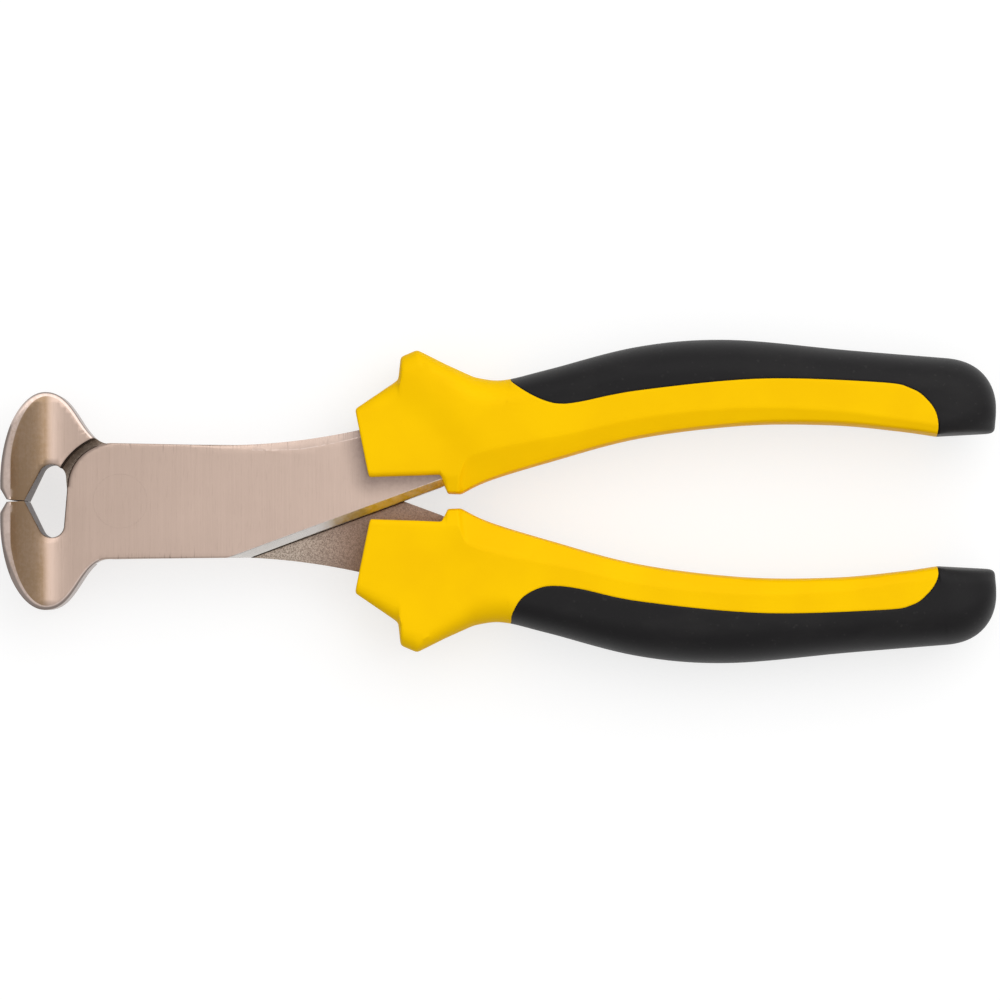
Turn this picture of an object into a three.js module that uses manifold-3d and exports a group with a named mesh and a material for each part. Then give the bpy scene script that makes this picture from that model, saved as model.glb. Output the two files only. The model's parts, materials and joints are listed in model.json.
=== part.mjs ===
// Cutting pliers: two lapped steel halves on a flush rivet, each tang in a two-component handle.
// Millimetres, +Z up. The tool lies flat and closed, jaws towards -X, hinge axis along Z.
// The origin is on the resting plane, under the middle of the tool.
import * as THREE from "three";
import { mergeVertices } from "three/addons/utils/BufferGeometryUtils.js";
import Module from "manifold-3d";

const wasm = await Module();
wasm.setup();

// Lap plates, measured from the hinge axis
const PLATE_THICKNESS = 5.5;
const PLATE_HALF_WIDTH = 11.6;
const PLATE_REACH = 10.6; // hinge axis to the front edge of a plate
const PLATE_CORNER = 9; // round corner that turns inside the other jaw's recess
const LAP_GAP = 0.3; // running gap between the two plates
const RECESS_GAP = 1.6; // room between the turning corner and the recess wall
const RECESS_START = 95; // sweep of that wall about the hinge axis, degrees
const RECESS_END = 265;

// Jaws, built forward from the plates
const HOLLOW_SLANT = 0.6; // how far the plate edge leans forward to the foot of the hollow
const HOLLOW_RADIUS = 2.5; // round foot of the hollow behind the cutting edges
const HOLLOW_DROP = 4.8; // centre line to the middle of that round
const INNER_BEVEL = 63; // slope of the inner bevel, degrees
const EDGE_GAP = 0.3; // light gap between the closed cutting edges
const EDGE_RELIEF = 0.3; // how far the land behind an edge falls away
const EDGE_LAND = 3.6; // length of that land
const EDGE_SETBACK = 1.3; // cutting edge behind the front of the jaws
const OUTER_BEVEL = 2.4; // height of the outer bevel
const JAW_SPAN = 21.8; // centre line to the crown of a jaw
const JAW_WIDTH = 22; // length of the cutting edges
const JAW_CHAMFER = 0.9; // chamfer round the sides of the jaws
const CROWN_SETBACK = 8.7; // crown behind the front of the jaws
const FRONT_BULGE = 0.325; // how far the front of a jaw is drawn out
const BROW_REACH = 5.22; // how far in front of the crown its curve is drawn
const NAPE_SHARE = 0.5; // part of the neck over which the crown is drawn back
const THROAT_SHARE = 0.45; // part of the neck over which the plate is drawn out
const NECK_REACH = 2.4; // hinge axis to where the neck meets the plate
const LIP_LAND = 1.5; // flat at the side of a jaw, behind its front
const FLARE_LENGTH = 12.5; // hollow ground flare from that flat down to the plate
const FLARE_KNEE = 5; // where along the flare its hollow is drawn to

// Rivet
const RIVET_RADIUS = 4;
const RIVET_HEAD_RADIUS = 5.4;
const RIVET_HEAD_DEPTH = 1.4;
const RIVET_GAP = 0.2;

// Shoulders and tangs
const WAIST_REACH = 14; // hinge axis to the waist of a plate
const WAIST_HALF_WIDTH = 11.3;
const SHOULDER_REACH = 52; // hinge axis to the end of the shoulder curve
const SHOULDER_RISE = 15.2; // centre line to that end
const SHOULDER_SAG = 10.4; // height that the shoulder curve is drawn towards
const DIAGONAL_FOOT = 20.8; // hinge axis to the start of the diagonal edge
const DIAGONAL_ANGLE = 20.2; // slope of the diagonal edge, degrees
const BEVEL_WIDTH = 1.5; // bevel of the diagonal edge, seen from above
const BEVEL_FALL = 1.7; // and from the side
const SHOULDER_GAP = 0.3; // room between the diagonal wall and the other half's shoulder
const TANG_DEPTH = 2; // blasted back of a tang, below the lap plane
const TANG_RISE = 4; // front of a tang inside its handle, above the lap plane
const TANG_START = 8; // length along the finger side before the tang is a plain bar
const TANG_LENGTH = 84; // length along the finger side to the end of the tang
const TANG_ROOT_WIDTH = 9;
const TANG_TIP_WIDTH = 6;
const TANG_GAP = 0.3; // gap between a tang and its sleeve

// Handle outline, as distance behind the sleeve mouth and height over the centre line
const MOUTH_REACH = 47; // hinge axis to the outer corner of the sleeve mouth
const MOUTH_OUTER = [0, 18.4];
const WING_ROOT = [8.6, 24.3];
const WING_FRONT = [9.1, 28.9];
const WING_TIP = [12.4, 30.3];
const WING_BACK = [18.2, 27.4];
const WING_HEEL = [23.8, 24.9];
const PALM_SIDE = [[29.5, 24.3], [38.8, 26.5], [56.8, 31.1], [74.8, 32.5], [98.8, 30.4]];
const TAIL_OUTER = [118.8, 28.8];
const TAIL_DROOP = 0.3; // fall of the palm side before the tail turns
const TAIL_TIP = [128.6, 19];
const MOUTH_INNER = [2.9, 4.1];
const LIP_ROOT = [9, 4.3];
const LIP_WING = [12.6, 4.4];
const LIP_END = [17.2, 4.6];
const STOP_FRONT = [18.5, 1.5];
const STOP_BACK = [21.2, 1.4];
const FINGER_SIDE = [[26.8, 4.1], [38.8, 7.8], [56.8, 12.6], [77.8, 15.2], [95.8, 15.3], [109, 14.1]];
const TAIL_INNER = [116.8, 13];
const TAIL_HEEL = [128.2, 14.2];

// Grip: soft shell on the palm side and round the tail, over the core of the sleeve
const NOSE_LEAN = 0.6; // how far the parting leans forward at its nose
const PARTING_FRONT = [
  [32.3, 24],
  [35.9, 21],
  [40.9, 19.3],
  [57, 22.1],
  [81, 24.4],
  [105, 23.7],
  [114, 21],
];
const PARTING_BACK = [
  [31.9, 22.6],
  [34.6, 18.9],
  [40.2, 17],
  [57, 20.1],
  [81, 22.4],
  [105, 21.8],
  [114, 19.2],
];
const PARTING_END = [117, 14.2];
const GRIP_WALL = 2.6; // thickness of the soft shell
const GRIP_GAP = 0.3; // gap between shell and sleeve
const CORE_STOP = 9; // end of the core in front of the tail tip

// Cross sections of a handle: half height, then plan width of the round and height of the flat
// wall under it on the palm side and on the finger side, and the angle that the latter turns
const SECTIONS = {
  mouth: { height: 7.2, round: 1.5, wall: 5.8, fingerRound: 0.8, fingerWall: 6.4, turn: 90 },
  wing: { height: 7.7, round: 3, wall: 4.1, fingerRound: 0.8, fingerWall: 6.9, turn: 90 },
  stop: { height: 8.1, round: 3.5, wall: 3.5, fingerRound: 3.4, fingerWall: 6.7, turn: 40 },
  heel: { height: 8.4, round: 5, wall: 2, fingerRound: 7.1, fingerWall: 5.9, turn: 40 },
  palm: { height: 8.6, round: 7.5, wall: 0, fingerRound: 3.7, fingerWall: 6.8, turn: 50 },
  tail: { height: 8.2, round: 7, wall: 0, fingerRound: 2.2, fingerWall: 7, turn: 60 },
};

// Fineness of curves
const ARC_STEPS = 8;
const ROUND_STEPS = 3; // steps of a handle's rounded corner
const COLLAR_STEPS = 2; // steps from the sleeve mouth to the wing
const WING_STEPS = 1; // steps of each side of the wing
const HEEL_STEPS = 2; // steps from the wing to the palm
const PALM_STEPS = 18;
const TAIL_STEPS = 5;
const TANG_STEPS = 8;
const PARTING_STEPS = 3; // steps for each point of a parting
const RIVET_SIDES = 48;

const CLEAR = 60; // reach of cutting tools past the work
const BEYOND = 240; // reach of side profiles past the ends of the tool

const STEEL = new THREE.MeshStandardMaterial({ color: 0xc8b2a5, metalness: 1, roughness: 0.35 });
const YELLOW = new THREE.MeshStandardMaterial({ color: 0xffcf00, metalness: 0, roughness: 0.45 });
const BLACK = new THREE.MeshStandardMaterial({ color: 0x2a282a, metalness: 0, roughness: 0.7 });

// Solids

/** Point in the plane of the tool. */
function at(x, y) {
  return new THREE.Vector2(x, y);
}

/** Solid of a closed geometry, for cutting and joining. */
function solid(geometry) {
  const bare = new THREE.BufferGeometry();
  bare.setAttribute("position", geometry.getAttribute("position"));
  bare.setIndex(geometry.index);
  const merged = mergeVertices(bare);
  const corners = merged.index.array;
  const kept = [];
  for (let i = 0; i < corners.length; i += 3) {
    const [a, b, c] = [corners[i], corners[i + 1], corners[i + 2]];
    if (a !== b && b !== c && c !== a) {
      kept.push(a, b, c);
    }
  }
  const vertProperties = new Float32Array(merged.getAttribute("position").array);
  const triVerts = new Uint32Array(kept);
  return new wasm.Manifold(new wasm.Mesh({ numProp: 3, vertProperties, triVerts }));
}

/** Named mesh of a finished solid. */
function piece(name, body, material) {
  const { vertProperties, triVerts } = body.getMesh();
  const geometry = new THREE.BufferGeometry();
  geometry.setAttribute("position", new THREE.BufferAttribute(vertProperties, 3));
  geometry.setIndex(new THREE.BufferAttribute(triVerts, 1));
  geometry.computeVertexNormals();
  const mesh = new THREE.Mesh(geometry, material);
  mesh.name = name;
  return mesh;
}

/** Outline in the plane of the tool, raised from one height to another. */
function prism(points, bottom, top) {
  const settings = { depth: top - bottom, bevelEnabled: false };
  return solid(new THREE.ExtrudeGeometry(new THREE.Shape(points), settings).translate(0, 0, bottom));
}

/** Side profile, along the tool and up, carried across the whole width. */
function across(points) {
  const settings = { depth: 2 * CLEAR, bevelEnabled: false };
  const geometry = new THREE.ExtrudeGeometry(new THREE.Shape(points), settings);
  return solid(geometry.rotateX(Math.PI / 2).translate(0, CLEAR, 0));
}

/** Solid of revolution about the hinge axis. */
function turned(profile) {
  return solid(new THREE.LatheGeometry(profile, RIVET_SIDES).rotateX(Math.PI / 2));
}

/** Arc as points, angles in degrees. */
function arc(centre, radius, from, to, steps = ARC_STEPS) {
  const points = [];
  for (let i = 0; i <= steps; i += 1) {
    const angle = THREE.MathUtils.degToRad(from + (to - from) * (i / steps));
    points.push(at(centre.x + radius * Math.cos(angle), centre.y + radius * Math.sin(angle)));
  }
  return points;
}

// Handle outline and cross sections

/** Point of the handle outline. */
function onHandle([along, out]) {
  return at(MOUTH_REACH + along, out);
}

/** Straight stretch of the handle outline. */
function straight(from, to) {
  return new THREE.LineCurve(onHandle(from), onHandle(to));
}

const palmCurve = new THREE.SplineCurve([WING_HEEL, ...PALM_SIDE, TAIL_OUTER].map(onHandle));
const fingerCurve = new THREE.SplineCurve([STOP_BACK, ...FINGER_SIDE, TAIL_INNER].map(onHandle));
const tailCurve = new THREE.CubicBezierCurve(
  onHandle(TAIL_OUTER),
  onHandle([(TAIL_OUTER[0] + 2 * TAIL_TIP[0]) / 3, TAIL_OUTER[1] - TAIL_DROOP]),
  onHandle([TAIL_TIP[0], (TAIL_OUTER[1] + TAIL_TIP[1]) / 2]),
  onHandle(TAIL_TIP),
);

/** One station: a straight cut from the palm side to the finger side, with its section. */
function station(outer, inner, section) {
  const width = outer.distanceTo(inner);
  return { outer, inner, width, inward: inner.clone().sub(outer).divideScalar(width), section };
}

/** Section between two others. */
function mix(first, second, share) {
  const result = {};
  for (const key of Object.keys(first)) {
    result[key] = THREE.MathUtils.lerp(first[key], second[key], share);
  }
  return result;
}

/** Stations along one stretch of the outline, without its last one. */
function stretch(outer, inner, first, second, steps) {
  const stations = [];
  for (let i = 0; i < steps; i += 1) {
    const share = i / steps;
    stations.push(station(outer.getPointAt(share), inner.getPointAt(share), mix(first, second, share)));
  }
  return stations;
}

/** Section of the round tail, sinking to a line at its tip. */
function tailSection(share) {
  const { height, fingerWall } = SECTIONS.tail;
  const sunk = Math.sqrt(Math.max(0, 1 - share * share));
  return { ...SECTIONS.tail, height: height * sunk, fingerWall: fingerWall * sunk };
}

const { mouth, wing, stop, heel, palm, tail } = SECTIONS;
const tailInner = straight(TAIL_INNER, TAIL_HEEL);
const tailStations = [];
for (let i = 0; i <= TAIL_STEPS; i += 1) {
  const share = Math.sin((Math.PI / 2) * (i / TAIL_STEPS));
  tailStations.push(station(tailCurve.getPointAt(share), tailInner.getPointAt(share), tailSection(share)));
}
const palmMiddle = PALM_STEPS / 2;
const palmStations = [];
for (let i = 0; i < PALM_STEPS; i += 1) {
  const share = i / PALM_STEPS;
  const section = i < palmMiddle ? mix(heel, palm, i / palmMiddle) : mix(palm, tail, i / palmMiddle - 1);
  palmStations.push(station(palmCurve.getPointAt(share), fingerCurve.getPointAt(share), section));
}
const handleStations = [
  ...stretch(straight(MOUTH_OUTER, WING_ROOT), straight(MOUTH_INNER, LIP_ROOT), mouth, wing, COLLAR_STEPS),
  ...stretch(straight(WING_ROOT, WING_FRONT), straight(LIP_ROOT, LIP_WING), wing, wing, WING_STEPS),
  ...stretch(straight(WING_FRONT, WING_TIP), straight(LIP_WING, LIP_END), wing, wing, WING_STEPS),
  ...stretch(straight(WING_TIP, WING_BACK), straight(LIP_END, STOP_FRONT), wing, stop, WING_STEPS),
  ...stretch(straight(WING_BACK, WING_HEEL), straight(STOP_FRONT, STOP_BACK), stop, heel, HEEL_STEPS),
  ...palmStations,
  ...tailStations,
];

/** Upper half of a section, from the palm side over the top to the finger side. */
function sectionPoints({ outer, width, inward, section }, inset) {
  const height = Math.max(0, section.height - inset);
  const span = width - 2 * inset;
  const round = Math.min(section.round, span / 2);
  const fingerRound = Math.min(section.fingerRound, span - round);
  const wall = Math.min(section.wall, height);
  const fingerWall = Math.min(section.fingerWall, height);
  const turn = THREE.MathUtils.degToRad(section.turn);
  const points = [];
  const add = (across, z) => {
    const place = outer.clone().addScaledVector(inward, inset + across);
    points.push(new THREE.Vector3(place.x, place.y, z));
  };
  for (let i = 0; i <= ROUND_STEPS; i += 1) {
    const angle = (Math.PI / 2) * (i / ROUND_STEPS);
    add(round * (1 - Math.cos(angle)), wall + (height - wall) * Math.sin(angle));
  }
  for (let i = ROUND_STEPS; i >= 0; i -= 1) {
    const angle = turn * (i / ROUND_STEPS);
    const back = fingerRound * ((1 - Math.cos(angle)) / (1 - Math.cos(turn)));
    add(span - back, fingerWall + ((height - fingerWall) * Math.sin(angle)) / Math.sin(turn));
  }
  return points;
}

/** Closed body through stations, pulled in by a wall thickness. */
function handleBody(stations, inset) {
  const positions = [];
  const indices = [];
  const halves = stations.map((cut) => sectionPoints(cut, inset));
  const count = 2 * halves[0].length;
  for (const half of halves) {
    const lower = half.map((point) => new THREE.Vector3(point.x, point.y, -point.z)).reverse();
    for (const point of [...half, ...lower]) {
      positions.push(point.x, point.y, point.z);
    }
  }
  const quad = (a, b, c, d) => indices.push(a, b, c, a, c, d);
  const last = (halves.length - 1) * count;
  for (let ring = 0; ring < last; ring += count) {
    for (let j = 0; j < count; j += 1) {
      const next = (j + 1) % count;
      quad(ring + j, ring + next, ring + count + next, ring + count + j);
    }
  }
  for (let j = 0; j + 1 < count / 2; j += 1) {
    quad(count - 1 - j, count - 2 - j, j + 1, j);
    quad(last + j, last + j + 1, last + count - 2 - j, last + count - 1 - j);
  }
  const geometry = new THREE.BufferGeometry();
  geometry.setAttribute("position", new THREE.Float32BufferAttribute(positions, 3));
  geometry.setIndex(indices);
  return solid(geometry);
}

// Steel halves: drawn for the half whose plate faces up, with its jaw at -Y and its tang at +Y

const diagonalTurn = THREE.MathUtils.degToRad(DIAGONAL_ANGLE);
const slope = Math.tan(diagonalTurn);
const wallFoot = DIAGONAL_FOOT + BEVEL_WIDTH / Math.sin(diagonalTurn);
const stopX = MOUTH_REACH + LIP_END[0];

/** Height of the diagonal wall over the centre line. */
function diagonalAt(x) {
  return (x - wallFoot) * slope - PLATE_HALF_WIDTH;
}

/** Both edges of a tang, from the plate to its end, widened by a clearance. */
function tangEdges(clearance) {
  const waist = at(WAIST_REACH, WAIST_HALF_WIDTH + clearance);
  const shoulder = at(SHOULDER_REACH, SHOULDER_RISE + clearance);
  const sag = at((WAIST_REACH + SHOULDER_REACH) / 2, SHOULDER_SAG + clearance);
  const outer = new THREE.QuadraticBezierCurve(waist, sag, shoulder).getPoints(ARC_STEPS);
  const inner = [at(stopX, diagonalAt(stopX) - clearance)];
  const reach = TANG_LENGTH + clearance;
  for (let i = 0; i <= TANG_STEPS; i += 1) {
    const share = i / TANG_STEPS;
    const along = THREE.MathUtils.lerp(TANG_START, reach, share);
    const fingers = fingerCurve.getPointAt(along / fingerCurve.getLength());
    const knuckles = palmCurve.getPointAt(along / palmCurve.getLength());
    const half = THREE.MathUtils.lerp(TANG_ROOT_WIDTH, TANG_TIP_WIDTH, share) / 2 + clearance;
    const out = knuckles.clone().sub(fingers).normalize();
    const middle = knuckles.add(fingers).multiplyScalar(0.5);
    outer.push(middle.clone().addScaledVector(out, half));
    inner.push(middle.addScaledVector(out, -half));
  }
  return { outer, inner };
}

/** Side profile of a tang's top and back, spread by a clearance. */
function tangProfile(clearance) {
  const step = MOUTH_REACH + STOP_BACK[0];
  const top = PLATE_THICKNESS + clearance;
  const bar = TANG_RISE + clearance;
  const back = -TANG_DEPTH - clearance;
  return { top: [at(step + clearance, top), at(step + PLATE_THICKNESS, bar)], back };
}

const cornerCentre = at(PLATE_CORNER - PLATE_REACH, PLATE_HALF_WIDTH - PLATE_CORNER);
const recessRadius = cornerCentre.length() + PLATE_CORNER + RECESS_GAP;
const hollowCentre = at(-PLATE_REACH - HOLLOW_SLANT - HOLLOW_RADIUS, -HOLLOW_DROP);
const hollowArc = arc(hollowCentre, HOLLOW_RADIUS, 0, -90 - INNER_BEVEL);
const hollowEnd = hollowArc.at(-1);
const reliefY = -EDGE_GAP / 2 - EDGE_RELIEF;
const landX = hollowEnd.x - (reliefY - hollowEnd.y) / Math.tan(THREE.MathUtils.degToRad(INNER_BEVEL));
const edgeX = landX - EDGE_LAND;
const frontX = edgeX - EDGE_SETBACK;
const crownX = frontX + CROWN_SETBACK;
const lipX = frontX + LIP_LAND;

/** Outline of a steel half. */
function steelOutline() {
  const bevelFoot = at(frontX, -OUTER_BEVEL);
  const crown = at(crownX, -JAW_SPAN);
  const neck = at(-NECK_REACH, -PLATE_HALF_WIDTH);
  const neckSpan = neck.x - crown.x;
  const belly = at(frontX - FRONT_BULGE, (bevelFoot.y + crown.y) / 2);
  const brow = at(crownX - BROW_REACH, -JAW_SPAN);
  const front = new THREE.CubicBezierCurve(bevelFoot, belly, brow, crown);
  const nape = at(crownX + neckSpan * NAPE_SHARE, crown.y);
  const throat = at(neck.x - neckSpan * THROAT_SHARE, neck.y);
  const back = new THREE.CubicBezierCurve(crown, nape, throat, neck);
  const { outer, inner } = tangEdges(0);
  return [
    at(edgeX, -EDGE_GAP / 2),
    ...front.getPoints(ARC_STEPS),
    ...back.getPoints(ARC_STEPS).slice(1),
    at(wallFoot, -PLATE_HALF_WIDTH),
    ...inner,
    ...outer.reverse(),
    ...arc(cornerCentre, PLATE_CORNER, 90, 180),
    ...hollowArc,
    at(landX, reliefY),
  ];
}

/** Hollow ground flare of one side of the jaws, from the plate out to the lip. */
function flare() {
  const foot = at(lipX + FLARE_LENGTH, PLATE_THICKNESS);
  const knee = at(lipX + FLARE_KNEE, PLATE_THICKNESS);
  return new THREE.QuadraticBezierCurve(foot, knee, at(lipX, JAW_WIDTH / 2)).getPoints(ARC_STEPS);
}

/** Everything that the side profile leaves of a half. */
function steelSide() {
  const upper = flare();
  const lower = upper.map((point) => at(point.x, -point.y)).reverse();
  const { top, back } = tangProfile(0);
  const end = top[1].y;
  return across([
    at(-CLEAR, JAW_WIDTH / 2),
    at(-CLEAR, -JAW_WIDTH / 2),
    ...lower,
    at(0, -PLATE_THICKNESS),
    at(0, back),
    at(BEYOND, back),
    at(BEYOND, end),
    ...top.reverse(),
    ...upper,
  ]);
}

/** Room for the other half's plate, below the lap plane. */
function lapRoom() {
  const shoulderFoot = wallFoot + SHOULDER_GAP / Math.sin(diagonalTurn);
  const lineX = (y) => shoulderFoot + (PLATE_HALF_WIDTH - y) / slope;
  const recess = arc(at(0, 0), recessRadius, RECESS_START, RECESS_END, 2 * ARC_STEPS);
  const outline = [
    ...recess,
    at(recess.at(-1).x, -CLEAR),
    at(lineX(-CLEAR), -CLEAR),
    at(lineX(recess[0].y), recess[0].y),
  ];
  return prism(outline, -CLEAR, LAP_GAP / 2);
}

/** Wedge that leaves the diagonal edge of a plate bevelled, as far as the handle's stop. */
function diagonalWedge() {
  const lead = 2 * BEVEL_WIDTH;
  const over = PLATE_THICKNESS + BEVEL_FALL;
  const profile = [at(0, PLATE_THICKNESS - BEVEL_FALL), at(lead, over), at(-lead, over)];
  const along = at(Math.cos(diagonalTurn), Math.sin(diagonalTurn));
  const down = at(along.y, -along.x);
  const start = at(wallFoot, -PLATE_HALF_WIDTH).addScaledVector(along, -2 * lead / slope);
  const wedge = prism(profile, 0, (stopX - start.x) / along.x);
  return wedge.transform([down.x, down.y, 0, 0, 0, 0, 1, 0, along.x, along.y, 0, 0, start.x, start.y, 0, 1]);
}

/** Steel half with its bore and countersink. */
function steelHalf() {
  const settings = {
    depth: JAW_WIDTH - 2 * JAW_CHAMFER,
    bevelThickness: JAW_CHAMFER,
    bevelSize: JAW_CHAMFER,
    bevelOffset: -JAW_CHAMFER,
    bevelSegments: 1,
  };
  const shape = new THREE.Shape(steelOutline());
  const blank = new THREE.ExtrudeGeometry(shape, settings).translate(0, 0, -settings.depth / 2);
  const bore = turned(rivetProfile(RIVET_GAP, CLEAR));
  const half = solid(blank).intersect(steelSide()).subtract(lapRoom());
  return half.subtract(diagonalWedge()).subtract(bore);
}

/** Half profile of the rivet, widened by a clearance, its ends carried past the plates. */
function rivetProfile(clearance, past) {
  const shank = RIVET_RADIUS + clearance;
  const rim = RIVET_HEAD_RADIUS + clearance;
  const neck = PLATE_THICKNESS - RIVET_HEAD_DEPTH;
  const end = PLATE_THICKNESS + past;
  const upper = [at(shank, neck), at(rim, PLATE_THICKNESS)];
  const lower = [at(rim, -PLATE_THICKNESS), at(shank, -neck)];
  if (past > 0) {
    return [at(0, -end), at(rim, -end), ...lower, ...upper, at(rim, end), at(0, end)];
  }
  return [at(0, -end), ...lower, ...upper, at(0, end)];
}

// Handles

/** Region of the soft grip in plan, drawn back from the parting by a gap. */
function gripZone(parting, gap) {
  const raised = parting.map(([along, out]) => [along + gap, out + gap]);
  const nose = [raised[0][0] - gap - NOSE_LEAN, WING_TIP[1]];
  const end = [PARTING_END[0] + gap, PARTING_END[1]];
  const curve = new THREE.SplineCurve([nose, ...raised, end].map(onHandle));
  return [
    ...curve.getPoints(PARTING_STEPS * parting.length),
    onHandle([end[0], 0]),
    onHandle([end[0] + CLEAR, 0]),
    onHandle([end[0] + CLEAR, CLEAR]),
    onHandle([nose[0], CLEAR]),
  ];
}

/** Grip zone through the whole thickness, front and back. */
function gripBlock(gap) {
  const front = prism(gripZone(PARTING_FRONT, gap), 0, CLEAR);
  return front.add(prism(gripZone(PARTING_BACK, gap), -CLEAR, 0));
}

/** Core of the sleeve under the grip. */
function gripCore(inset) {
  const first = handleStations.length - tailStations.length - palmStations.length;
  const end = MOUTH_REACH + TAIL_TIP[0] - CORE_STOP;
  const stations = handleStations.slice(first).filter((cut) => cut.outer.x < end);
  return handleBody(stations, inset);
}

/** Pocket that a tang fills in its sleeve. */
function tangPocket() {
  const { outer, inner } = tangEdges(TANG_GAP);
  const { top, back } = tangProfile(TANG_GAP);
  const foot = at(wallFoot, -PLATE_HALF_WIDTH - TANG_GAP);
  const profile = [
    at(0, back),
    at(BEYOND, back),
    at(BEYOND, top[1].y),
    top[1],
    top[0],
    at(0, top[0].y),
  ];
  return prism([foot, ...inner, ...outer.reverse()], -CLEAR, CLEAR).intersect(across(profile));
}

/** Hard sleeve of a handle. */
function sleeve() {
  const shell = gripBlock(0).subtract(gripCore(GRIP_WALL));
  return handleBody(handleStations, 0).subtract(shell).subtract(tangPocket());
}

/** Soft grip of a handle. */
function grip() {
  const shell = handleBody(handleStations, 0).intersect(gripBlock(GRIP_GAP));
  return shell.subtract(gripCore(GRIP_WALL - GRIP_GAP));
}

// Assembly: the second half is the first one turned over about the length of the tool

/** One lever: steel half, sleeve and grip. */
function lever(names, bodies) {
  const group = new THREE.Group();
  group.add(piece(names[0], bodies[0], STEEL));
  group.add(piece(names[1], bodies[1], YELLOW));
  group.add(piece(names[2], bodies[2], BLACK));
  return group;
}

const bodies = [steelHalf(), sleeve(), grip()];
const frontLever = lever(["front_half", "upper_sleeve", "upper_grip"], bodies);
const backLever = lever(["back_half", "lower_sleeve", "lower_grip"], bodies);
backLever.rotation.x = Math.PI;
const rivet = piece("pivot_rivet", turned(rivetProfile(0, 0)), STEEL);

const tool = new THREE.Group();
tool.add(frontLever, backLever, rivet);
tool.updateMatrixWorld(true);
const box = new THREE.Box3().setFromObject(tool, true);
tool.position.set(-(box.min.x + box.max.x) / 2, -(box.min.y + box.max.y) / 2, -box.min.z);

export default tool;
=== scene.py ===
"""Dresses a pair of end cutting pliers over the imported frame.

Sizes are millimetres in the tool's own frame: x runs from the hinge axis to the handle ends, y
across the tool and z along the hinge axis. Finished meshes are in metres, in the part's frame.
"""

import json
import logging
import math
from dataclasses import dataclass, field
from enum import Enum, IntEnum
from typing import Iterator, Union

import bmesh
import bpy
import numpy as np
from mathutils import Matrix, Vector
from mathutils.geometry import delaunay_2d_cdt


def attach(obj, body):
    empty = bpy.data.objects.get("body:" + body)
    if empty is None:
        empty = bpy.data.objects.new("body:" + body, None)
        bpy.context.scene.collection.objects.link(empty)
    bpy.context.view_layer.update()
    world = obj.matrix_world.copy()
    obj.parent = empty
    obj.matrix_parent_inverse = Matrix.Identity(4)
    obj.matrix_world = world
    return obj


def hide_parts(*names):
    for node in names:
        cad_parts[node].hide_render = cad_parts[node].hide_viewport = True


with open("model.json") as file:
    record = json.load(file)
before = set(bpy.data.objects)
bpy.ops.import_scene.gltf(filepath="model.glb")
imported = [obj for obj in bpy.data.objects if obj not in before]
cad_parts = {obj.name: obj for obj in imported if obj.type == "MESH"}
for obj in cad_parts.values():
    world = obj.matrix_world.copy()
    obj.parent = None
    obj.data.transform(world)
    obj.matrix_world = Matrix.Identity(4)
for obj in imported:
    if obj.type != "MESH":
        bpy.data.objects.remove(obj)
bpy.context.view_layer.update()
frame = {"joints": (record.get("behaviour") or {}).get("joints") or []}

MM = 0.001
HINGE = np.array(frame["joints"][0]["pos_m"]) / MM

# Millimetres within which points merge or edges go, creases in degrees, and bare tolerances
MERGED = 0.002
SLIVER = 0.001
STEEL_CREASE = 28
PLASTIC_CREASE = 36
TINY = 1e-9
CLOSE = 1e-6
FAR = 1e3

Pair = tuple[float, float]
Knots = tuple[Pair, ...]
Colour = tuple[float, float, float, float]
log = logging.getLogger("pliers")


class Lever(Enum):
    """The two levers: the front one as drawn, the back one turned over about the tool's length."""

    FRONT = "front_lever"
    BACK = "back_lever"

    @property
    def turn(self) -> int:
        """1 for the lever as drawn, -1 for the one turned over."""
        return 1 if self is Lever.FRONT else -1

    def node(self, part: str) -> str:
        """Name of the frame's node for a part of this lever."""
        side = {"half": ("front", "back")}.get(part, ("upper", "lower"))
        return f"{side[0] if self is Lever.FRONT else side[1]}_{part}"

    def place(self, points: np.ndarray) -> np.ndarray:
        """Points drawn for the front lever, in metres in the frame of the part."""
        return (points * (1, self.turn, self.turn) + HINGE) * MM


class SteelFace(IntEnum):
    """Kinds of face on a steel half, numbered in the order of its finishes."""

    GROUND = 0
    LAPPED = 1
    BEVEL = 2
    SIDE = 3
    HOLE = 4


# Shader wiring


class Wire:
    """Output of a shader node that takes part in Python arithmetic."""

    def __init__(self, graph: "Graph", socket: bpy.types.NodeSocket) -> None:
        """Keeps the socket and the graph that it belongs to."""
        self.graph = graph
        self.socket = socket

    def _math(self, operation: str, first: "Value", second: "Value") -> "Wire":
        """Math node of two values."""
        return self.graph.node("Math", {"operation": operation}, {0: first, 1: second})

    def __add__(self, other: "Value") -> "Wire":
        """Sum with a value."""
        return self._math("ADD", self, other)

    __radd__ = __add__

    def __mul__(self, other: "Value") -> "Wire":
        """Product with a value."""
        return self._math("MULTIPLY", self, other)

    __rmul__ = __mul__

    def __sub__(self, other: "Value") -> "Wire":
        """Difference to a value."""
        return self._math("SUBTRACT", self, other)

    def __rsub__(self, other: "Value") -> "Wire":
        """Difference of a value to this."""
        return self._math("SUBTRACT", other, self)

    def limited(self) -> "Wire":
        """This value, kept between 0 and 1."""
        return self.graph.node("Clamp", {}, {"Value": self})

    def ramp(self, low: float, high: float) -> "Wire":
        """Smooth step from 0 at low to 1 at high."""
        limits = {"Value": self, "From Min": low, "From Max": high}
        return self.graph.node("MapRange", {"interpolation_type": "SMOOTHSTEP"}, limits)


Value = Union[Wire, float, tuple]


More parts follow.
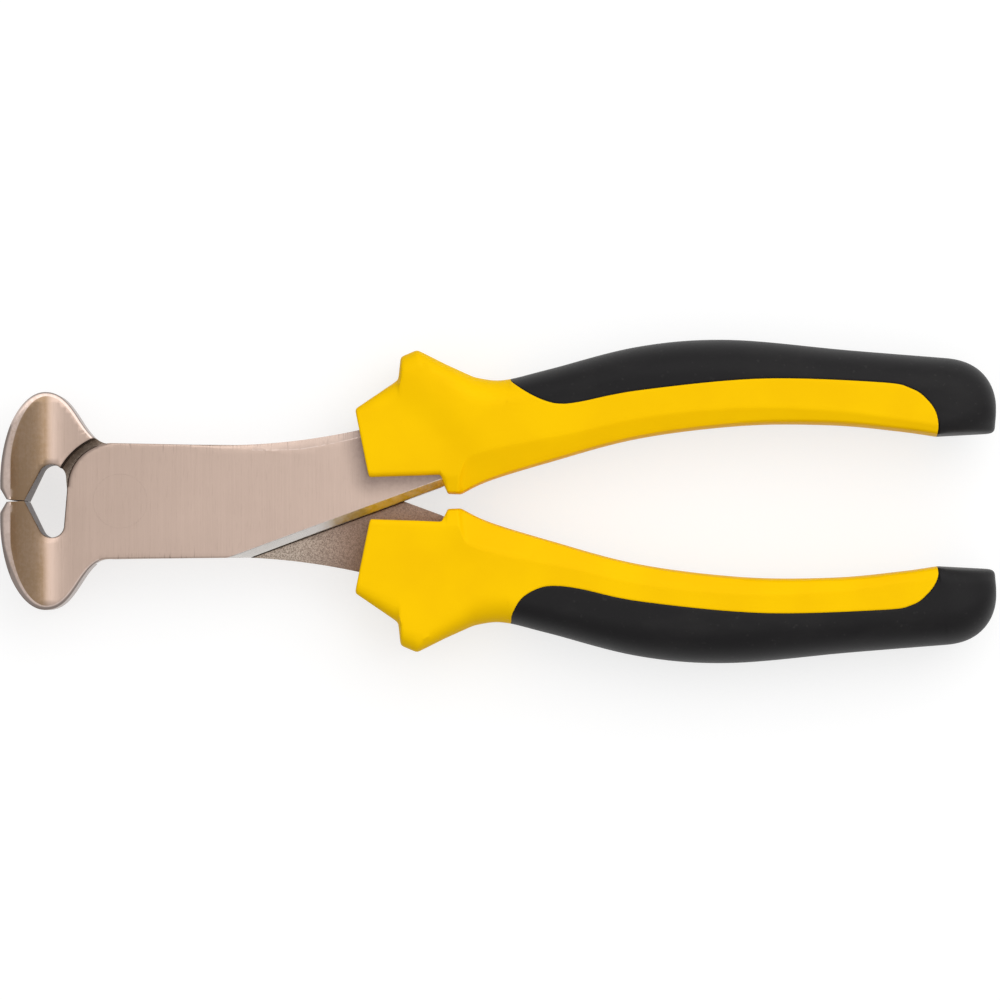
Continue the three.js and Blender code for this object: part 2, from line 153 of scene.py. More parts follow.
class Graph:
    """Nodes of one material or of the world."""

    def __init__(self, tree: bpy.types.NodeTree) -> None:
        """Starts from an empty tree."""
        self.tree = tree
        tree.nodes.clear()

    def node(self, kind: str, settings: dict, inputs: dict, output: Union[int, str] = 0) -> Wire:
        """Adds one node.

        Args:
            kind: node type without its ShaderNode prefix.
            settings: properties of the node, set first; "stops" are a ramp's places and colours.
            inputs: values or wires by socket name or number.
            output: socket that the result stands for.

        Returns:
            The wire of that output, or of nothing where the node has none.
        """
        made = self.tree.nodes.new("ShaderNode" + kind)
        for name, value in settings.items():
            if name == "stops":
                self._set_stops(made.color_ramp, value)
            else:
                setattr(made, name, value)
        for key, value in inputs.items():
            if isinstance(value, Wire):
                self.tree.links.new(value.socket, made.inputs[key])
            else:
                made.inputs[key].default_value = value
        return Wire(self, made.outputs[output] if made.outputs else None)

    @staticmethod
    def _set_stops(ramp: bpy.types.ColorRamp, stops: list[tuple[float, Colour]]) -> None:
        """Gives a ramp its stops.

        Args:
            ramp: ramp with its two first stops.
            stops: place and colour of each stop, in order.
        """
        while len(ramp.elements) < len(stops):
            ramp.elements.new(1.0)
        for element, (place, colour) in zip(ramp.elements, stops):
            element.position = place
            element.color = colour

    def blend(self, factor: Value, first: Value, second: Value) -> Wire:
        """Colour between two others."""
        return self.node("Mix", {"data_type": "RGBA"}, {0: factor, 6: first, 7: second}, 2)

    def millimetres(self, scale: tuple[float, float, float] = (1, 1, 1)) -> Wire:
        """Place on the piece in millimetres, stretched by a scale."""
        place = self.node("TexCoord", {}, {}, "Object")
        return self.node("Mapping", {}, {"Vector": place, "Scale": tuple(s / MM for s in scale)})

    def noise(self, place: Wire, scale: float, detail: float = 2.0, roughness: float = 0.5) -> Wire:
        """Noise value from 0 to 1."""
        inputs = {"Vector": place, "Scale": scale, "Detail": detail, "Roughness": roughness}
        return self.node("TexNoise", {}, inputs)

    def mask(self, name: str) -> Wire:
        """Value that the mesh carries at its points."""
        return self.node("Attribute", {"attribute_name": name}, {}, "Fac")

    def bump(self, height: Wire, strength: float, depth: float) -> Wire:
        """Normal of a relief, its depth in millimetres."""
        inputs = {"Height": height, "Strength": strength, "Distance": depth * MM}
        return self.node("Bump", {}, inputs)

    def surface(self, inputs: dict) -> None:
        """Ends the graph in a principled surface."""
        shader = self.node("BsdfPrincipled", {}, inputs)
        self.node("OutputMaterial", {}, {"Surface": shader})


def rgb(red: float, green: float, blue: float) -> Colour:
    """Opaque colour, linear."""
    return (red, green, blue, 1.0)


@dataclass(frozen=True)
class Finish:
    """A finish that makes one material under its own name."""

    name: str

    def material(self) -> bpy.types.Material:
        """Material of this finish, made once.

        Returns:
            The material under the finish's name.
        """
        found = bpy.data.materials.get(self.name)
        if found is None:
            found = bpy.data.materials.new(self.name)
            found.use_nodes = True
            self.wire(Graph(found.node_tree))
        return found

    def wire(self, graph: Graph) -> None:
        """Wires the finish; each kind has its own."""
        raise NotImplementedError


@dataclass(frozen=True)
class GroundSteel(Finish):
    """Warm satin steel with grinding lines across the tool, a bronze tint with painted shade in the
    hollow of the flare, worn rims with painted highlights and painted shade, and painted shade by
    the sleeve mouth and in the slot.
    """

    colour: Colour = rgb(0.63, 0.48, 0.405)
    shade: Colour = rgb(0.46, 0.345, 0.285)
    # bronze tint of the flare's hollow, which also stands for painted shade there
    bronze_and_shade: Colour = rgb(0.29, 0.195, 0.12)
    # lighter colour of worn rims, which also stands for a painted highlight where the rims catch
    # the light
    wear_and_highlight: Colour = rgb(0.66, 0.53, 0.47)
    # darker colour painted on the outer part of rims: painted shade where the edges turn away from
    # the light
    edge_shade: Colour = rgb(0.27, 0.225, 0.205)
    # dark colour of the painted shade by the sleeve mouth, by the plate's corner and in the slot,
    # also used for darker streaks along the outline behind the hinge
    painted_shade: Colour = rgb(0.22, 0.16, 0.14)
    roughness: float = 0.32
    lines: tuple = (0.35, 26.0, 4.0, 0.6)
    streaks: tuple = (0.3, 3.4, 2.0, 0.5)
    fade: float = 110.0
    cloud_scale: float = 0.09
    fleck_scale: float = 1.3
    streak_ramp: Pair = (0.56, 0.72)
    hollow_ramp: Pair = (0.07, 0.2)
    wear_and_highlight_ramp: Pair = (0.0, 0.1)
    # rise and fall of the painted highlight line along the bevel's crest
    crest_ramps: Knots = ((0.0, 0.03), (0.08, 0.14))
    edge_shade_ramp: Pair = (0.38, 0.68)
    facet_shade_ramp: Pair = (0.03, 0.12)
    relief: Pair = (0.2, 0.05)

    def wire(self, graph: Graph) -> None:
        """Wires lines, streaks, clouding, a tone lighter towards the handles, the bronze tint with
        painted shade of the hollow, painted shade and darker streaks, and worn rims with painted
        highlights and painted shade.

        Args:
            graph: empty graph of the material.
        """
        lines, streak = (
            graph.noise(graph.millimetres((1 / pitch, 1 / length, 1 / length)), 1.0, *kind)
            for pitch, length, *kind in (self.lines, self.streaks)
        )
        cloud = graph.noise(graph.millimetres(), self.cloud_scale, 3.0)
        fleck = graph.noise(graph.millimetres(), self.fleck_scale, 3.0, 0.6)
        along = graph.node("SeparateXYZ", {}, {0: graph.millimetres((1 / self.fade, 1, 1))}, "X")
        dark = streak.ramp(*self.streak_ramp)
        tone = (lines * 0.4 + cloud * 0.35 + 0.1 * streak + along + 0.62 - 0.18 * dark).limited()
        mottle = 0.3 + 0.7 * cloud + 0.5 * fleck + 0.25 * lines - 0.1
        # painted shade with a bronze tint in the hollow of the flare, mottled
        hollow = graph.mask("hollow").ramp(*self.hollow_ramp) * mottle
        rim, facet = graph.mask("rim"), graph.mask("facet")
        # rims lighter by wear and by a painted highlight, little of it behind the hinge
        rubbing = 0.72 + 0.36 * fleck.ramp(0.35, 0.65)
        light = rim.ramp(*self.wear_and_highlight_ramp) * rubbing * (1 - 0.85 * facet)
        # painted highlight line along the crest of the diagonal bevel, behind the hinge
        rising, falling = (rim.ramp(*limits) for limits in self.crest_ramps)
        crest = (rising - falling) * fleck.ramp(0.35, 0.55) * facet
        # painted shade on the outer part of rims before the hinge, and a little on the facet behind
        # it
        outer = rim.ramp(*self.edge_shade_ramp) * (1 - facet) * (0.7 + 0.3 * fleck)
        outer = outer + rim.ramp(*self.facet_shade_ramp) * facet * 0.16
        # painted shade by the sleeve mouth and the plate's corner, and darker streaks along the
        # outline behind the hinge
        painted_shade = graph.mask("grime") * (0.75 + 0.5 * fleck) + graph.mask("brink") * dark * 0.6
        body = graph.blend(tone, self.shade, self.colour)
        bronzed_and_shaded = graph.blend(hollow.limited(), body, self.bronze_and_shade)
        shaded = graph.blend(painted_shade.limited(), bronzed_and_shaded, self.painted_shade)
        rubbed = graph.blend((light + crest).limited(), shaded, self.wear_and_highlight)
        graph.surface({
            "Base Color": graph.blend(outer.limited(), rubbed, self.edge_shade),
            "Metallic": 1.0,
            "Roughness": (self.roughness + 0.16 * (lines - 0.5) + 0.08 * (cloud - 0.5)).limited(),
            "Normal": graph.bump(lines + 0.6 * streak, *self.relief),
        })


@dataclass(frozen=True)
class BlastedSteel(Finish):
    """Shot blasted steel with a coarse bright grain, with painted shade and a warm painted
    reflection towards the handle, and painted shade in the slot.
    """

    colour: Colour = rgb(0.58, 0.48, 0.40)
    pit: Colour = rgb(0.19, 0.145, 0.115)
    # darker warm colours towards the handle: painted shade with a painted yellow reflection
    handle_shade: Colour = rgb(0.31, 0.21, 0.16)
    handle_shade_pit: Colour = rgb(0.19, 0.125, 0.095)
    # dark colour of the painted shade in the slot
    painted_shade: Colour = rgb(0.19, 0.14, 0.105)
    roughness: float = 0.46
    grain: float = 0.28
    relief: Pair = (0.55, 0.12)

    def wire(self, graph: Graph) -> None:
        """Wires the grain into colour, gloss and relief.

        Args:
            graph: empty graph of the material.
        """
        place = graph.millimetres()
        grain = graph.noise(place, 1 / self.grain, 3.0, 0.7)
        cloud = graph.noise(place, 0.12, 2.0)
        tone = (grain.ramp(0.34, 0.62) * 0.85 + cloud * 0.3).limited()
        bare = graph.blend(tone, self.pit, self.colour)
        handle_shade = graph.blend(tone, self.handle_shade_pit, self.handle_shade)
        # painted shade and reflection towards the handle
        handle_shaded = graph.blend(graph.mask("sheltered"), bare, handle_shade)
        graph.surface({
            # painted shade in the slot
            "Base Color": graph.blend(graph.mask("grime"), handle_shaded, self.painted_shade),
            "Metallic": 1.0,
            "Roughness": (self.roughness + 0.2 * (0.5 - grain)).limited(),
            "Normal": graph.bump(grain, *self.relief),
        })


@dataclass(frozen=True)
class MilledSteel(Finish):
    """Smooth milled steel of bevels and narrow sides, with a painted reflection near the handle
    that is lighter on the bevels, and painted shade there on the side and hole walls.
    """

    colour: Colour = rgb(0.68, 0.655, 0.63)
    shade: Colour = rgb(0.53, 0.50, 0.47)
    # colour painted near the handle: on the bevel a brighter yellow reflection
    sheltered: Colour = rgb(0.76, 0.72, 0.70)
    roughness: float = 0.24
    metallic: float = 1.0
    relief: Pair = (0.15, 0.04)

    def wire(self, graph: Graph) -> None:
        """Wires a faint milling mark and the painted reflection and shade near the handle.

        Args:
            graph: empty graph of the material.
        """
        mark = graph.noise(graph.millimetres((0.6, 0.6, 3.0)), 1.0, 3.0)
        fleck = graph.noise(graph.millimetres(), 0.8, 3.0, 0.6)
        bare = graph.blend(mark, self.shade, self.colour)
        # painted reflection and shade near the handle, flecked
        near = (graph.mask("sheltered") * (0.45 + 0.7 * fleck.ramp(0.35, 0.6))).limited()
        graph.surface({
            "Base Color": graph.blend(near, bare, self.sheltered),
            "Metallic": self.metallic,
            "Roughness": (self.roughness + 0.12 * (mark - 0.5) + 0.16 * near).limited(),
            "Normal": graph.bump(mark, *self.relief),
        })


@dataclass(frozen=True)
class MouldedPlastic(Finish):
    """Satin moulded plastic with a fine spark eroded texture."""

    colour: Colour = rgb(1.0, 0.60, 0.0)
    shade: Colour = rgb(0.96, 0.56, 0.0)
    roughness: float = 0.46
    specular: float = 0.03
    grain: float = 0.28
    relief: Pair = (0.12, 0.03)

    def wire(self, graph: Graph) -> None:
        """Wires texture, soft clouding and uneven gloss.

        Args:
            graph: empty graph of the material.
        """
        place = graph.millimetres()
        grain = graph.noise(place, 1 / self.grain, 2.0, 0.6)
        cloud = graph.noise(place, 0.07, 3.0)
        graph.surface({
            "Base Color": graph.blend(cloud.ramp(0.3, 0.7), self.shade, self.colour),
            "Roughness": (self.roughness + 0.12 * (cloud - 0.5) + 0.08 * (grain - 0.5)).limited(),
            "Specular IOR Level": self.specular,
            "Normal": graph.bump(grain, *self.relief),
        })


@dataclass(frozen=True)
class SoftRubber(Finish):
    """Matt black rubber with a fine grain and a little dust."""

    colour: Colour = rgb(0.0052, 0.0045, 0.0052)
    dust: Colour = rgb(0.05, 0.047, 0.045)
    roughness: float = 0.52
    specular: float = 0.2
    sheen: float = 0.06
    grain: float = 0.32
    relief: Pair = (0.25, 0.05)

    def wire(self, graph: Graph) -> None:
        """Wires grain, rubbed patches and dust.

        Args:
            graph: empty graph of the material.
        """
        place = graph.millimetres()
        grain = graph.noise(place, 1 / self.grain, 3.0, 0.6)
        rubbed = graph.noise(graph.millimetres((0.5, 1.0, 1.0)), 0.12, 4.0, 0.6)
        speck = graph.noise(place, 1.1, 2.0, 0.4).ramp(0.66, 0.74)
        dusty = (speck * 0.35 * rubbed + 0.12 * rubbed.ramp(0.45, 0.75)).limited()
        graph.surface({
            "Base Color": graph.blend(dusty, self.colour, self.dust),
            "Roughness": (self.roughness + 0.18 * (rubbed - 0.5) + 0.1 * (grain - 0.5)).limited(),
            "Specular IOR Level": self.specular,
            "Sheen Weight": self.sheen,
            "Normal": graph.bump(grain, *self.relief),
        })


GROUND = GroundSteel("ground_steel")
BLASTED = BlastedSteel("blasted_steel")
MILLED = MilledSteel("milled_steel")
# side and hole walls: their third colour is painted shade near the handle
SIDE = MilledSteel(
    "side_steel", rgb(0.44, 0.37, 0.335), rgb(0.31, 0.255, 0.23), rgb(0.34, 0.27, 0.235), 0.36,
)
DULL = MilledSteel(
    "dull_steel", rgb(0.2, 0.16, 0.15), rgb(0.14, 0.11, 0.1), rgb(0.15, 0.12, 0.11), 0.5, 0.4,
)
YELLOW = MouldedPlastic("yellow_plastic")
BLACK = SoftRubber("black_rubber")


# Curves in the plane


def unit(angle: float) -> np.ndarray:
    """Direction at an angle in degrees."""
    return np.array([math.cos(math.radians(angle)), math.sin(math.radians(angle))])


def circle(sides: int) -> np.ndarray:
    """Corners of a regular polygon in the unit circle."""
    return np.array([unit(360 * i / sides) for i in range(sides)])


def arc(centre: Pair, radius: float, start: float, end: float, count: int) -> np.ndarray:
    """Points of an arc, angles in degrees."""
    return np.array([np.array(centre) + radius * unit(a) for a in np.linspace(start, end, count)])


def line(start: Pair, end: Pair, count: int) -> np.ndarray:
    """Points of a straight line."""
    return np.linspace(start, end, count)


def bezier(controls: list[Pair], count: int) -> np.ndarray:
    """Points of a Bezier curve.

    Args:
        controls: control points.
        count: number of points.

    Returns:
        Points from the first control point to the last.
    """
    share = np.linspace(0, 1, count)[:, None]
    rows = [np.repeat(np.array([c], float), count, 0) for c in controls]
    while len(rows) > 1:
        rows = [a + (b - a) * share for a, b in zip(rows, rows[1:])]
    return rows[0]


def spline(knots: list[Pair], count: int) -> np.ndarray:
    """Points of a curve through knots.

    Args:
        knots: points that the curve passes through.
        count: number of points in each span.

    Returns:
        Points of a uniform Catmull-Rom curve.
    """
    held = np.array([knots[0], *knots, knots[-1]], float)
    share = np.linspace(0, 1, count, endpoint=False)[:, None]
    spans = []
    for before, start, end, after in zip(held, held[1:], held[2:], held[3:]):
        lead, trail = (end - before) / 2, (after - start) / 2
        bow = 2 * (start - end) + lead + trail
        sway = 3 * (end - start) - 2 * lead - trail
        spans.append(((bow * share + sway) * share + lead) * share + start)
    return np.vstack([*spans, held[-1:]])


def lengths(points: np.ndarray) -> np.ndarray:
    """Distance along a polyline at each of its points."""
    return np.concatenate([[0], np.cumsum(np.linalg.norm(np.diff(points, axis=0), axis=1))])


def interpolated(marks: np.ndarray, run: np.ndarray, rows: np.ndarray) -> np.ndarray:
    """Rows of a table at marks along its run."""
    return np.stack([np.interp(marks, run, column) for column in rows.T], 1)


def at_shares(points: np.ndarray, shares: np.ndarray) -> np.ndarray:
    """Points at shares of a polyline's length."""
    run = lengths(points)
    return interpolated(shares * run[-1], run, points)


def softened(values: np.ndarray, reach: float, mirror: tuple = ()) -> np.ndarray:
    """Rows smoothed along their order, with the two ends held.

    Args:
        values: rows in order.
        reach: spread of the smoothing, in rows.
        mirror: factors that reflect a row at an end; without them the row is reflected through
            its end.

    Returns:
        The smoothed rows.
    """
    pad = max(1, int(math.ceil(3 * reach)))
    weights = np.exp(-0.5 * (np.arange(-pad, pad + 1) / reach) ** 2)
    weights /= weights.sum()
    head, tail = values[1:pad + 1][::-1], values[-pad - 1:-1][::-1]
    if mirror:
        head, tail = head * mirror, tail * mirror
    else:
        head, tail = 2 * values[0] - head, 2 * values[-1] - tail
    held = np.vstack([head, values, tail])
    return np.stack([np.convolve(held[:, i], weights, "valid") for i in range(values.shape[1])], 1)


def smooth(share: np.ndarray) -> np.ndarray:
    """Share from 0 to 1 with soft ends."""
    return share * share * (3 - 2 * share)


def sideways(ahead: np.ndarray) -> np.ndarray:
    """Unit directions to the left of other directions."""
    ahead = ahead / np.maximum(np.linalg.norm(ahead, axis=1), TINY)[:, None]
    return np.stack([-ahead[:, 1], ahead[:, 0]], 1)


def lattice(low: Pair, high: Pair, steps: Pair) -> np.ndarray:
    """Points of a grid between two corners."""
    axes = np.meshgrid(*(np.arange(*limits) for limits in zip(low, high, steps)))
    return np.stack([axis.ravel() for axis in axes], 1)


def to_segments(
    points: np.ndarray, starts: np.ndarray, ends: np.ndarray,
) -> tuple[np.ndarray, np.ndarray]:
    """Distances of points to straight segments.

    Args:
        points: plan points.
        starts: first ends of the segments.
        ends: their last ends.

    Returns:
        Distance of each point to each segment, and the share of the segment where it lies nearest.
    """
    along = ends - starts
    offset = points[:, None] - starts
    share = np.clip((offset * along).sum(2) / (along ** 2).sum(1), 0, 1)
    return np.linalg.norm(offset - share[:, :, None] * along, axis=2), share


def placed(name: str, data: bpy.types.ID) -> bpy.types.Object:
    """Adds an object to the scene.

    Args:
        name: name of the object.
        data: its mesh, lamp or camera.

    Returns:
        The object, at the origin.
    """
    made = bpy.data.objects.new(name, data)
    bpy.context.scene.collection.objects.link(made)
    return made


# Meshes


@dataclass
class Shell:
    """Points and faces of one mesh in the tool's frame."""

    points: list = field(default_factory=list)
    faces: list[tuple] = field(default_factory=list)
    finishes: list[int] = field(default_factory=list)
    masks: dict[str, np.ndarray] = field(default_factory=dict)

    def add(self, rows: np.ndarray) -> int:
        """Adds points and returns the number of the first."""
        self.points.extend(rows)
        return len(self.points) - len(rows)

    def quad(self, a: int, b: int, c: int, d: int, finish: int = 0) -> None:
        """Adds a face of four points."""
        self.faces.append((a, b, c, d))
        self.finishes.append(finish)

    def loft(self, rings: list[np.ndarray], closed: bool) -> list[int]:
        """Joins rings of equal length by faces.

        Args:
            rings: points of each ring.
            closed: whether each ring goes round.

        Returns:
            Number of the first point of each ring.
        """
        starts = [self.add(ring) for ring in rings]
        count = len(rings[0])
        for one, two in zip(starts, starts[1:]):
            for j in range(count if closed else count - 1):
                k = (j + 1) % count
                self.quad(one + j, two + j, two + k, one + k)
        return starts

    def cap(self, upper: list[int], lower: list[int]) -> None:
        """Closes the space between two rows of points."""
        for a, b, c, d in zip(upper, upper[1:], lower[1:], lower):
            self.quad(a, b, c, d)

    def piece(
        self, name: str, lever: Lever, finishes: list[Finish], crease: float,
    ) -> bpy.types.Object:
        """Makes the Blender object.

        Args:
            name: name of the piece.
            lever: lever that it belongs to, which places and carries it.
            finishes: finishes in the order that faces number them.
            crease: angle in degrees above which an edge stays sharp.

        Returns:
            The object, riding on its lever's body.
        """
        mesh = bpy.data.meshes.new(name)
        mesh.from_pydata(lever.place(np.array(self.points)).tolist(), [], self.faces)
        mesh.polygons.foreach_set("material_index", self.finishes)
        for finish in finishes:
            mesh.materials.append(finish.material())
        for mask, values in self.masks.items():
            mesh.attributes.new(mask, "FLOAT", "POINT").data.foreach_set("value", values)
        made = bmesh.new()
        made.from_mesh(mesh)
        bmesh.ops.remove_doubles(made, verts=made.verts, dist=MERGED * MM)
        bmesh.ops.dissolve_degenerate(made, edges=made.edges, dist=SLIVER * MM)
        bmesh.ops.recalc_face_normals(made, faces=made.faces)
        made.to_mesh(mesh)
        made.free()
        mesh.shade_smooth()
        mesh.set_sharp_from_angle(angle=math.radians(crease))
        made_object = placed(name, mesh)
        weighted = made_object.modifiers.new("even_normals", "WEIGHTED_NORMAL")
        weighted.keep_sharp = True
        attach(made_object, lever.value)
        log.info("%s: %d faces on %s", name, len(mesh.polygons), lever.value)
        return made_object


# Steel


@dataclass(frozen=True)
class Rim:
    """Worked edge: width in plan, fall, and how round it is, from flat at 0 to round at 1."""

    width: float
    fall: float
    round: float = 1.0

    def row(self) -> np.ndarray:
        """The three values in a row."""
        return np.array([self.width, self.fall, self.round])


@dataclass
class SteelHalf:
    """One forged half: jaw, lap plate and tang, as one relief over its plan."""

    lever: Lever
    plate_thickness: float = 5.5
    plate_half_width: float = 11.6
    plate_taper: float = 0.3
    plate_reach: float = 10.6
    plate_corner: float = 9.0
    lap: float = 0.15
    recess_gap: float = 1.6
    hollow_slant: float = 0.6
    hollow_radius: float = 2.5
    hollow_drop: float = 4.8
    inner_bevel: float = 63.0
    edge_gap: float = 0.24
    edge_relief: float = 0.05
    edge_land: float = 3.37
    edge_setback: float = 1.3
    outer_bevel: float = 2.4
    jaw_span: float = 21.8
    jaw_width: float = 22.0
    crown_setback: float = 8.7
    brow_share: float = 0.6
    neck_reach: float = 2.4
    nape_share: float = 0.5
    throat_share: float = 0.45
    lip_land: float = 2.1
    flare_length: float = 11.9
    flare_knee: float = 4.4
    bore: float = 5.412
    waist: Pair = (14.0, 11.3)
    shoulder: Pair = (52.0, 15.2)
    shoulder_sag: float = 10.4
    diagonal_foot: float = 20.8
    diagonal_angle: float = 20.2
    bevel_width: float = 1.5
    bevel_fall: float = 1.7
    shoulder_gap: float = 0.05
    tang_depth: float = 2.0
    tang_rise: float = 4.0
    tang_step: Pair = (68.2, 73.7)
    tang_middle: Knots = (
        (77.1, 14.7), (88.6, 17.9), (100.2, 21.1), (112, 23), (126, 23.7), (140, 23.1), (152, 22.3),
    )
    tang_widths: Pair = (9.0, 6.0)
    tang_start: float = 64.2
    wall_slant: float = 0.04
    edge_round: float = 0.3
    sleeve_mouth: Knots = ((47.0, 18.4), (50.0, 4.8), (64.2, 5.2))
    # reach of the painted shade along the sleeve mouth
    mouth_shade_reach: float = 4.8
    # width of the darker streaks along the outline behind the hinge
    brink: float = 1.8
    worked_fall: float = 0.29
    # how much of the bronze tint and painted shade of the hollow the lapped side of the jaw takes
    lapped_bronze_and_shade: float = 1.25
    # boost of the rim value at the jaw's far end, which paints shade on its rim
    chin_shade: float = 1.9
    # span along the tool over which the painted shade and reflection near the handle come in
    handle_light_span: Pair = (34.0, 46.0)
    # falloff of the painted shade along the sleeve mouth
    mouth_shade_power: float = 1.3
    chin: Pair = (-15.0, -9.0)
    # painted shade in the slot, by distance from the jaw's recess wall
    slot: Knots = ((-4, 0), (-1.4, 0.5), (-0.6, 1), (0.02, 1), (0.15, 0))
    # width and strength of the painted highlight along the bevel's crest
    crest_highlight: Pair = (0.1, 0.08)
    lip_edge: float = 0.05

    # Edges of the relief, and how finely the plan follows them
    rim_shares: tuple = (0.15, 0.4, 1.0)
    rim_falls: tuple = (0.62, 0.36, 0.0)
    mitre_limit: float = 0.7
    round_shares: Pair = (0.4, 0.27)
    crest: Pair = (0.15, 0.03)
    crest_foot: float = 0.12
    lip_round: float = 0.15
    lip_margin: float = 0.2
    jaw_end: float = -1.0
    recess_span: Pair = (175, 275)
    diagonal_span: Pair = (-6, 62)
    bore_sides: int = 72
    flare_grid: Pair = (0.45, 1.1)
    flare_margin: float = 1.0
    wide_grid: Pair = (1.3, 1.3)
    wide_span: Pair = (-8, 68)
    wide_top: float = 16
    grid_margin: float = 0.25
    weld: float = 1e-4
    hole_margins: Pair = (0.5, 1.0)
    hole_half_width: float = 8.0
    draft_margin: float = 0.02
    least_wall: float = 0.02

    def __post_init__(self) -> None:
        """Works out the places that follow from the sizes."""
        centre = (self.plate_corner - self.plate_reach, self.plate_half_width - self.plate_corner)
        self.corner = np.array(centre)
        self.recess = float(np.linalg.norm(self.corner)) + self.plate_corner + self.recess_gap
        foot = -self.plate_reach - self.hollow_slant - self.hollow_radius
        centre, end = (foot, -self.hollow_drop), -90 - self.inner_bevel
        self.hollow = arc(centre, self.hollow_radius, 0, end, 28)
        rise = -self.edge_relief - self.hollow[-1, 1]
        self.land_x = self.hollow[-1, 0] - rise / math.tan(math.radians(self.inner_bevel))
        self.edge_x = self.land_x - self.edge_land
        self.front_x = self.edge_x - self.edge_setback
        self.crown_x = self.front_x + self.crown_setback
        self.lip_x = self.front_x + self.lip_land
        self.sine, self.cosine = unit(self.diagonal_angle)[::-1]
        self.draft_foot = self.diagonal_foot + self.bevel_width / self.sine
        self.shoulder_foot = self.draft_foot + self.shoulder_gap / self.sine
        controls = [
            (self.lip_x + self.flare_length, self.plate_thickness),
            (self.lip_x + self.flare_knee, self.plate_thickness),
            (self.lip_x, self.jaw_width / 2),
        ]
        self.flare = bezier(controls, 60)[::-1]
        front, back = self.hole_margins
        self.hole = (self.edge_x + front, back - self.plate_reach)

    def tang(self) -> tuple[np.ndarray, np.ndarray]:
        """Edges of the tang where the handle hides it.

        Returns:
            Inner edge from the plate to the end, and outer edge from the end to the shoulder.
        """
        rise = (self.tang_start - self.draft_foot) * self.sine / self.cosine
        start = (self.tang_start, rise - self.plate_half_width)
        middle = spline(self.tang_middle, 6)
        half = np.linspace(*self.tang_widths, len(middle))[:, None] / 2
        out = sideways(np.gradient(middle, axis=0)) * half
        return np.vstack([start, middle - out]), np.vstack([self.shoulder, middle + out])[::-1]

    def stretches(self) -> Iterator[tuple[np.ndarray, Rim, Rim]]:
        """Stretches of the outline in order.

        Yields:
            Points of a stretch and the rims at its two ends.
        """
        plate, keen, fine = Rim(0.3, 0.22), Rim(0.16, 0.1), Rim(0.35, 0.28)
        jaw, brow_rim = Rim(2.2, 0.7, 0.75), Rim(1.5, 0.62, 0.75)
        crown, neck, corner_rim = Rim(0.9, 0.5, 0.6), Rim(0.4, 0.26), Rim(0.75, 0.5)
        lens, lens_end, point = Rim(1.9, 0.34, 0.1), Rim(1.4, 0.3, 0.1), Rim(0.85, 0.35, 0.5)
        tip, foot = (self.edge_x, -self.edge_gap), (self.front_x, -self.outer_bevel)
        top, base = (self.crown_x, -self.jaw_span), (-self.neck_reach, -self.plate_half_width)
        span = base[0] - top[0]
        belly = (self.front_x - self.edge_setback / 4, (foot[1] + top[1]) / 2)
        brow = (self.crown_x - self.brow_share * self.crown_setback, top[1])
        nape = (top[0] + self.nape_share * span, top[1])
        throat = (base[0] - self.throat_share * span, base[1])
        inner, outer = self.tang()
        sag = ((self.waist[0] + self.shoulder[0]) / 2, self.shoulder_sag)
        rise, lens_at = bezier([self.shoulder, sag, self.waist], 41), 17
        corner, corner_at = arc(self.corner, self.plate_corner, 90, 180, 40), 9
        front, brow_at = bezier([foot, belly, brow, top], 57), 28
        yield line(tip, foot, 8), point, jaw
        yield front[:brow_at + 1], jaw, brow_rim
        yield front[brow_at:], brow_rim, crown
        yield bezier([top, nape, throat, base], 48), crown, neck
        heel = self.draft_foot + self.plate_taper * self.cosine / self.sine
        foot = (heel, self.plate_taper - self.plate_half_width)
        yield line(base, foot, 24), neck, plate
        yield line(foot, inner[0], 24), keen, keen
        yield inner, plate, plate
        yield line(inner[-1], outer[0], 4), plate, plate
        yield outer, plate, lens_end
        yield rise[:lens_at + 1], lens_end, lens
        yield rise[lens_at:], lens, plate
        yield line(self.waist, corner[0], 12), plate, plate
        yield corner[:corner_at + 1], plate, corner_rim
        yield corner[corner_at:], corner_rim, corner_rim
        yield line(corner[-1], self.hollow[0], 10), fine, fine
        yield self.hollow, fine, fine
        yield line(self.hollow[-1], (self.land_x, -self.edge_relief), 10), fine, keen
        yield line((self.land_x, -self.edge_relief), tip, 12), keen, keen

    def outline(self) -> tuple[np.ndarray, np.ndarray]:
        """Closed outline of the half.

        Returns:
            Points of the outline, its inside on the left, and the values of the rim at each.
        """
        points, rims = [], []
        for stretch, first, last in self.stretches():
            share = np.linspace(0, 1, len(stretch))[:-1, None]
            points.append(stretch[:-1])
            rims.append(first.row() + (last.row() - first.row()) * share)
        return np.vstack(points), np.vstack(rims)

    def inset(self, outline: np.ndarray, widths: np.ndarray) -> np.ndarray:
        """Outline drawn inwards by a width at each point.

        Args:
            outline: closed outline, its inside on the left.
            widths: distance at each point.

        Returns:
            The inner outline, as many points.
        """
        inward = sideways(np.roll(outline, -1, 0) - outline)
        joint = inward + np.roll(inward, 1, 0)
        reach = np.maximum((joint ** 2).sum(1) / 2, self.mitre_limit)
        return outline + joint * (widths / reach)[:, None]

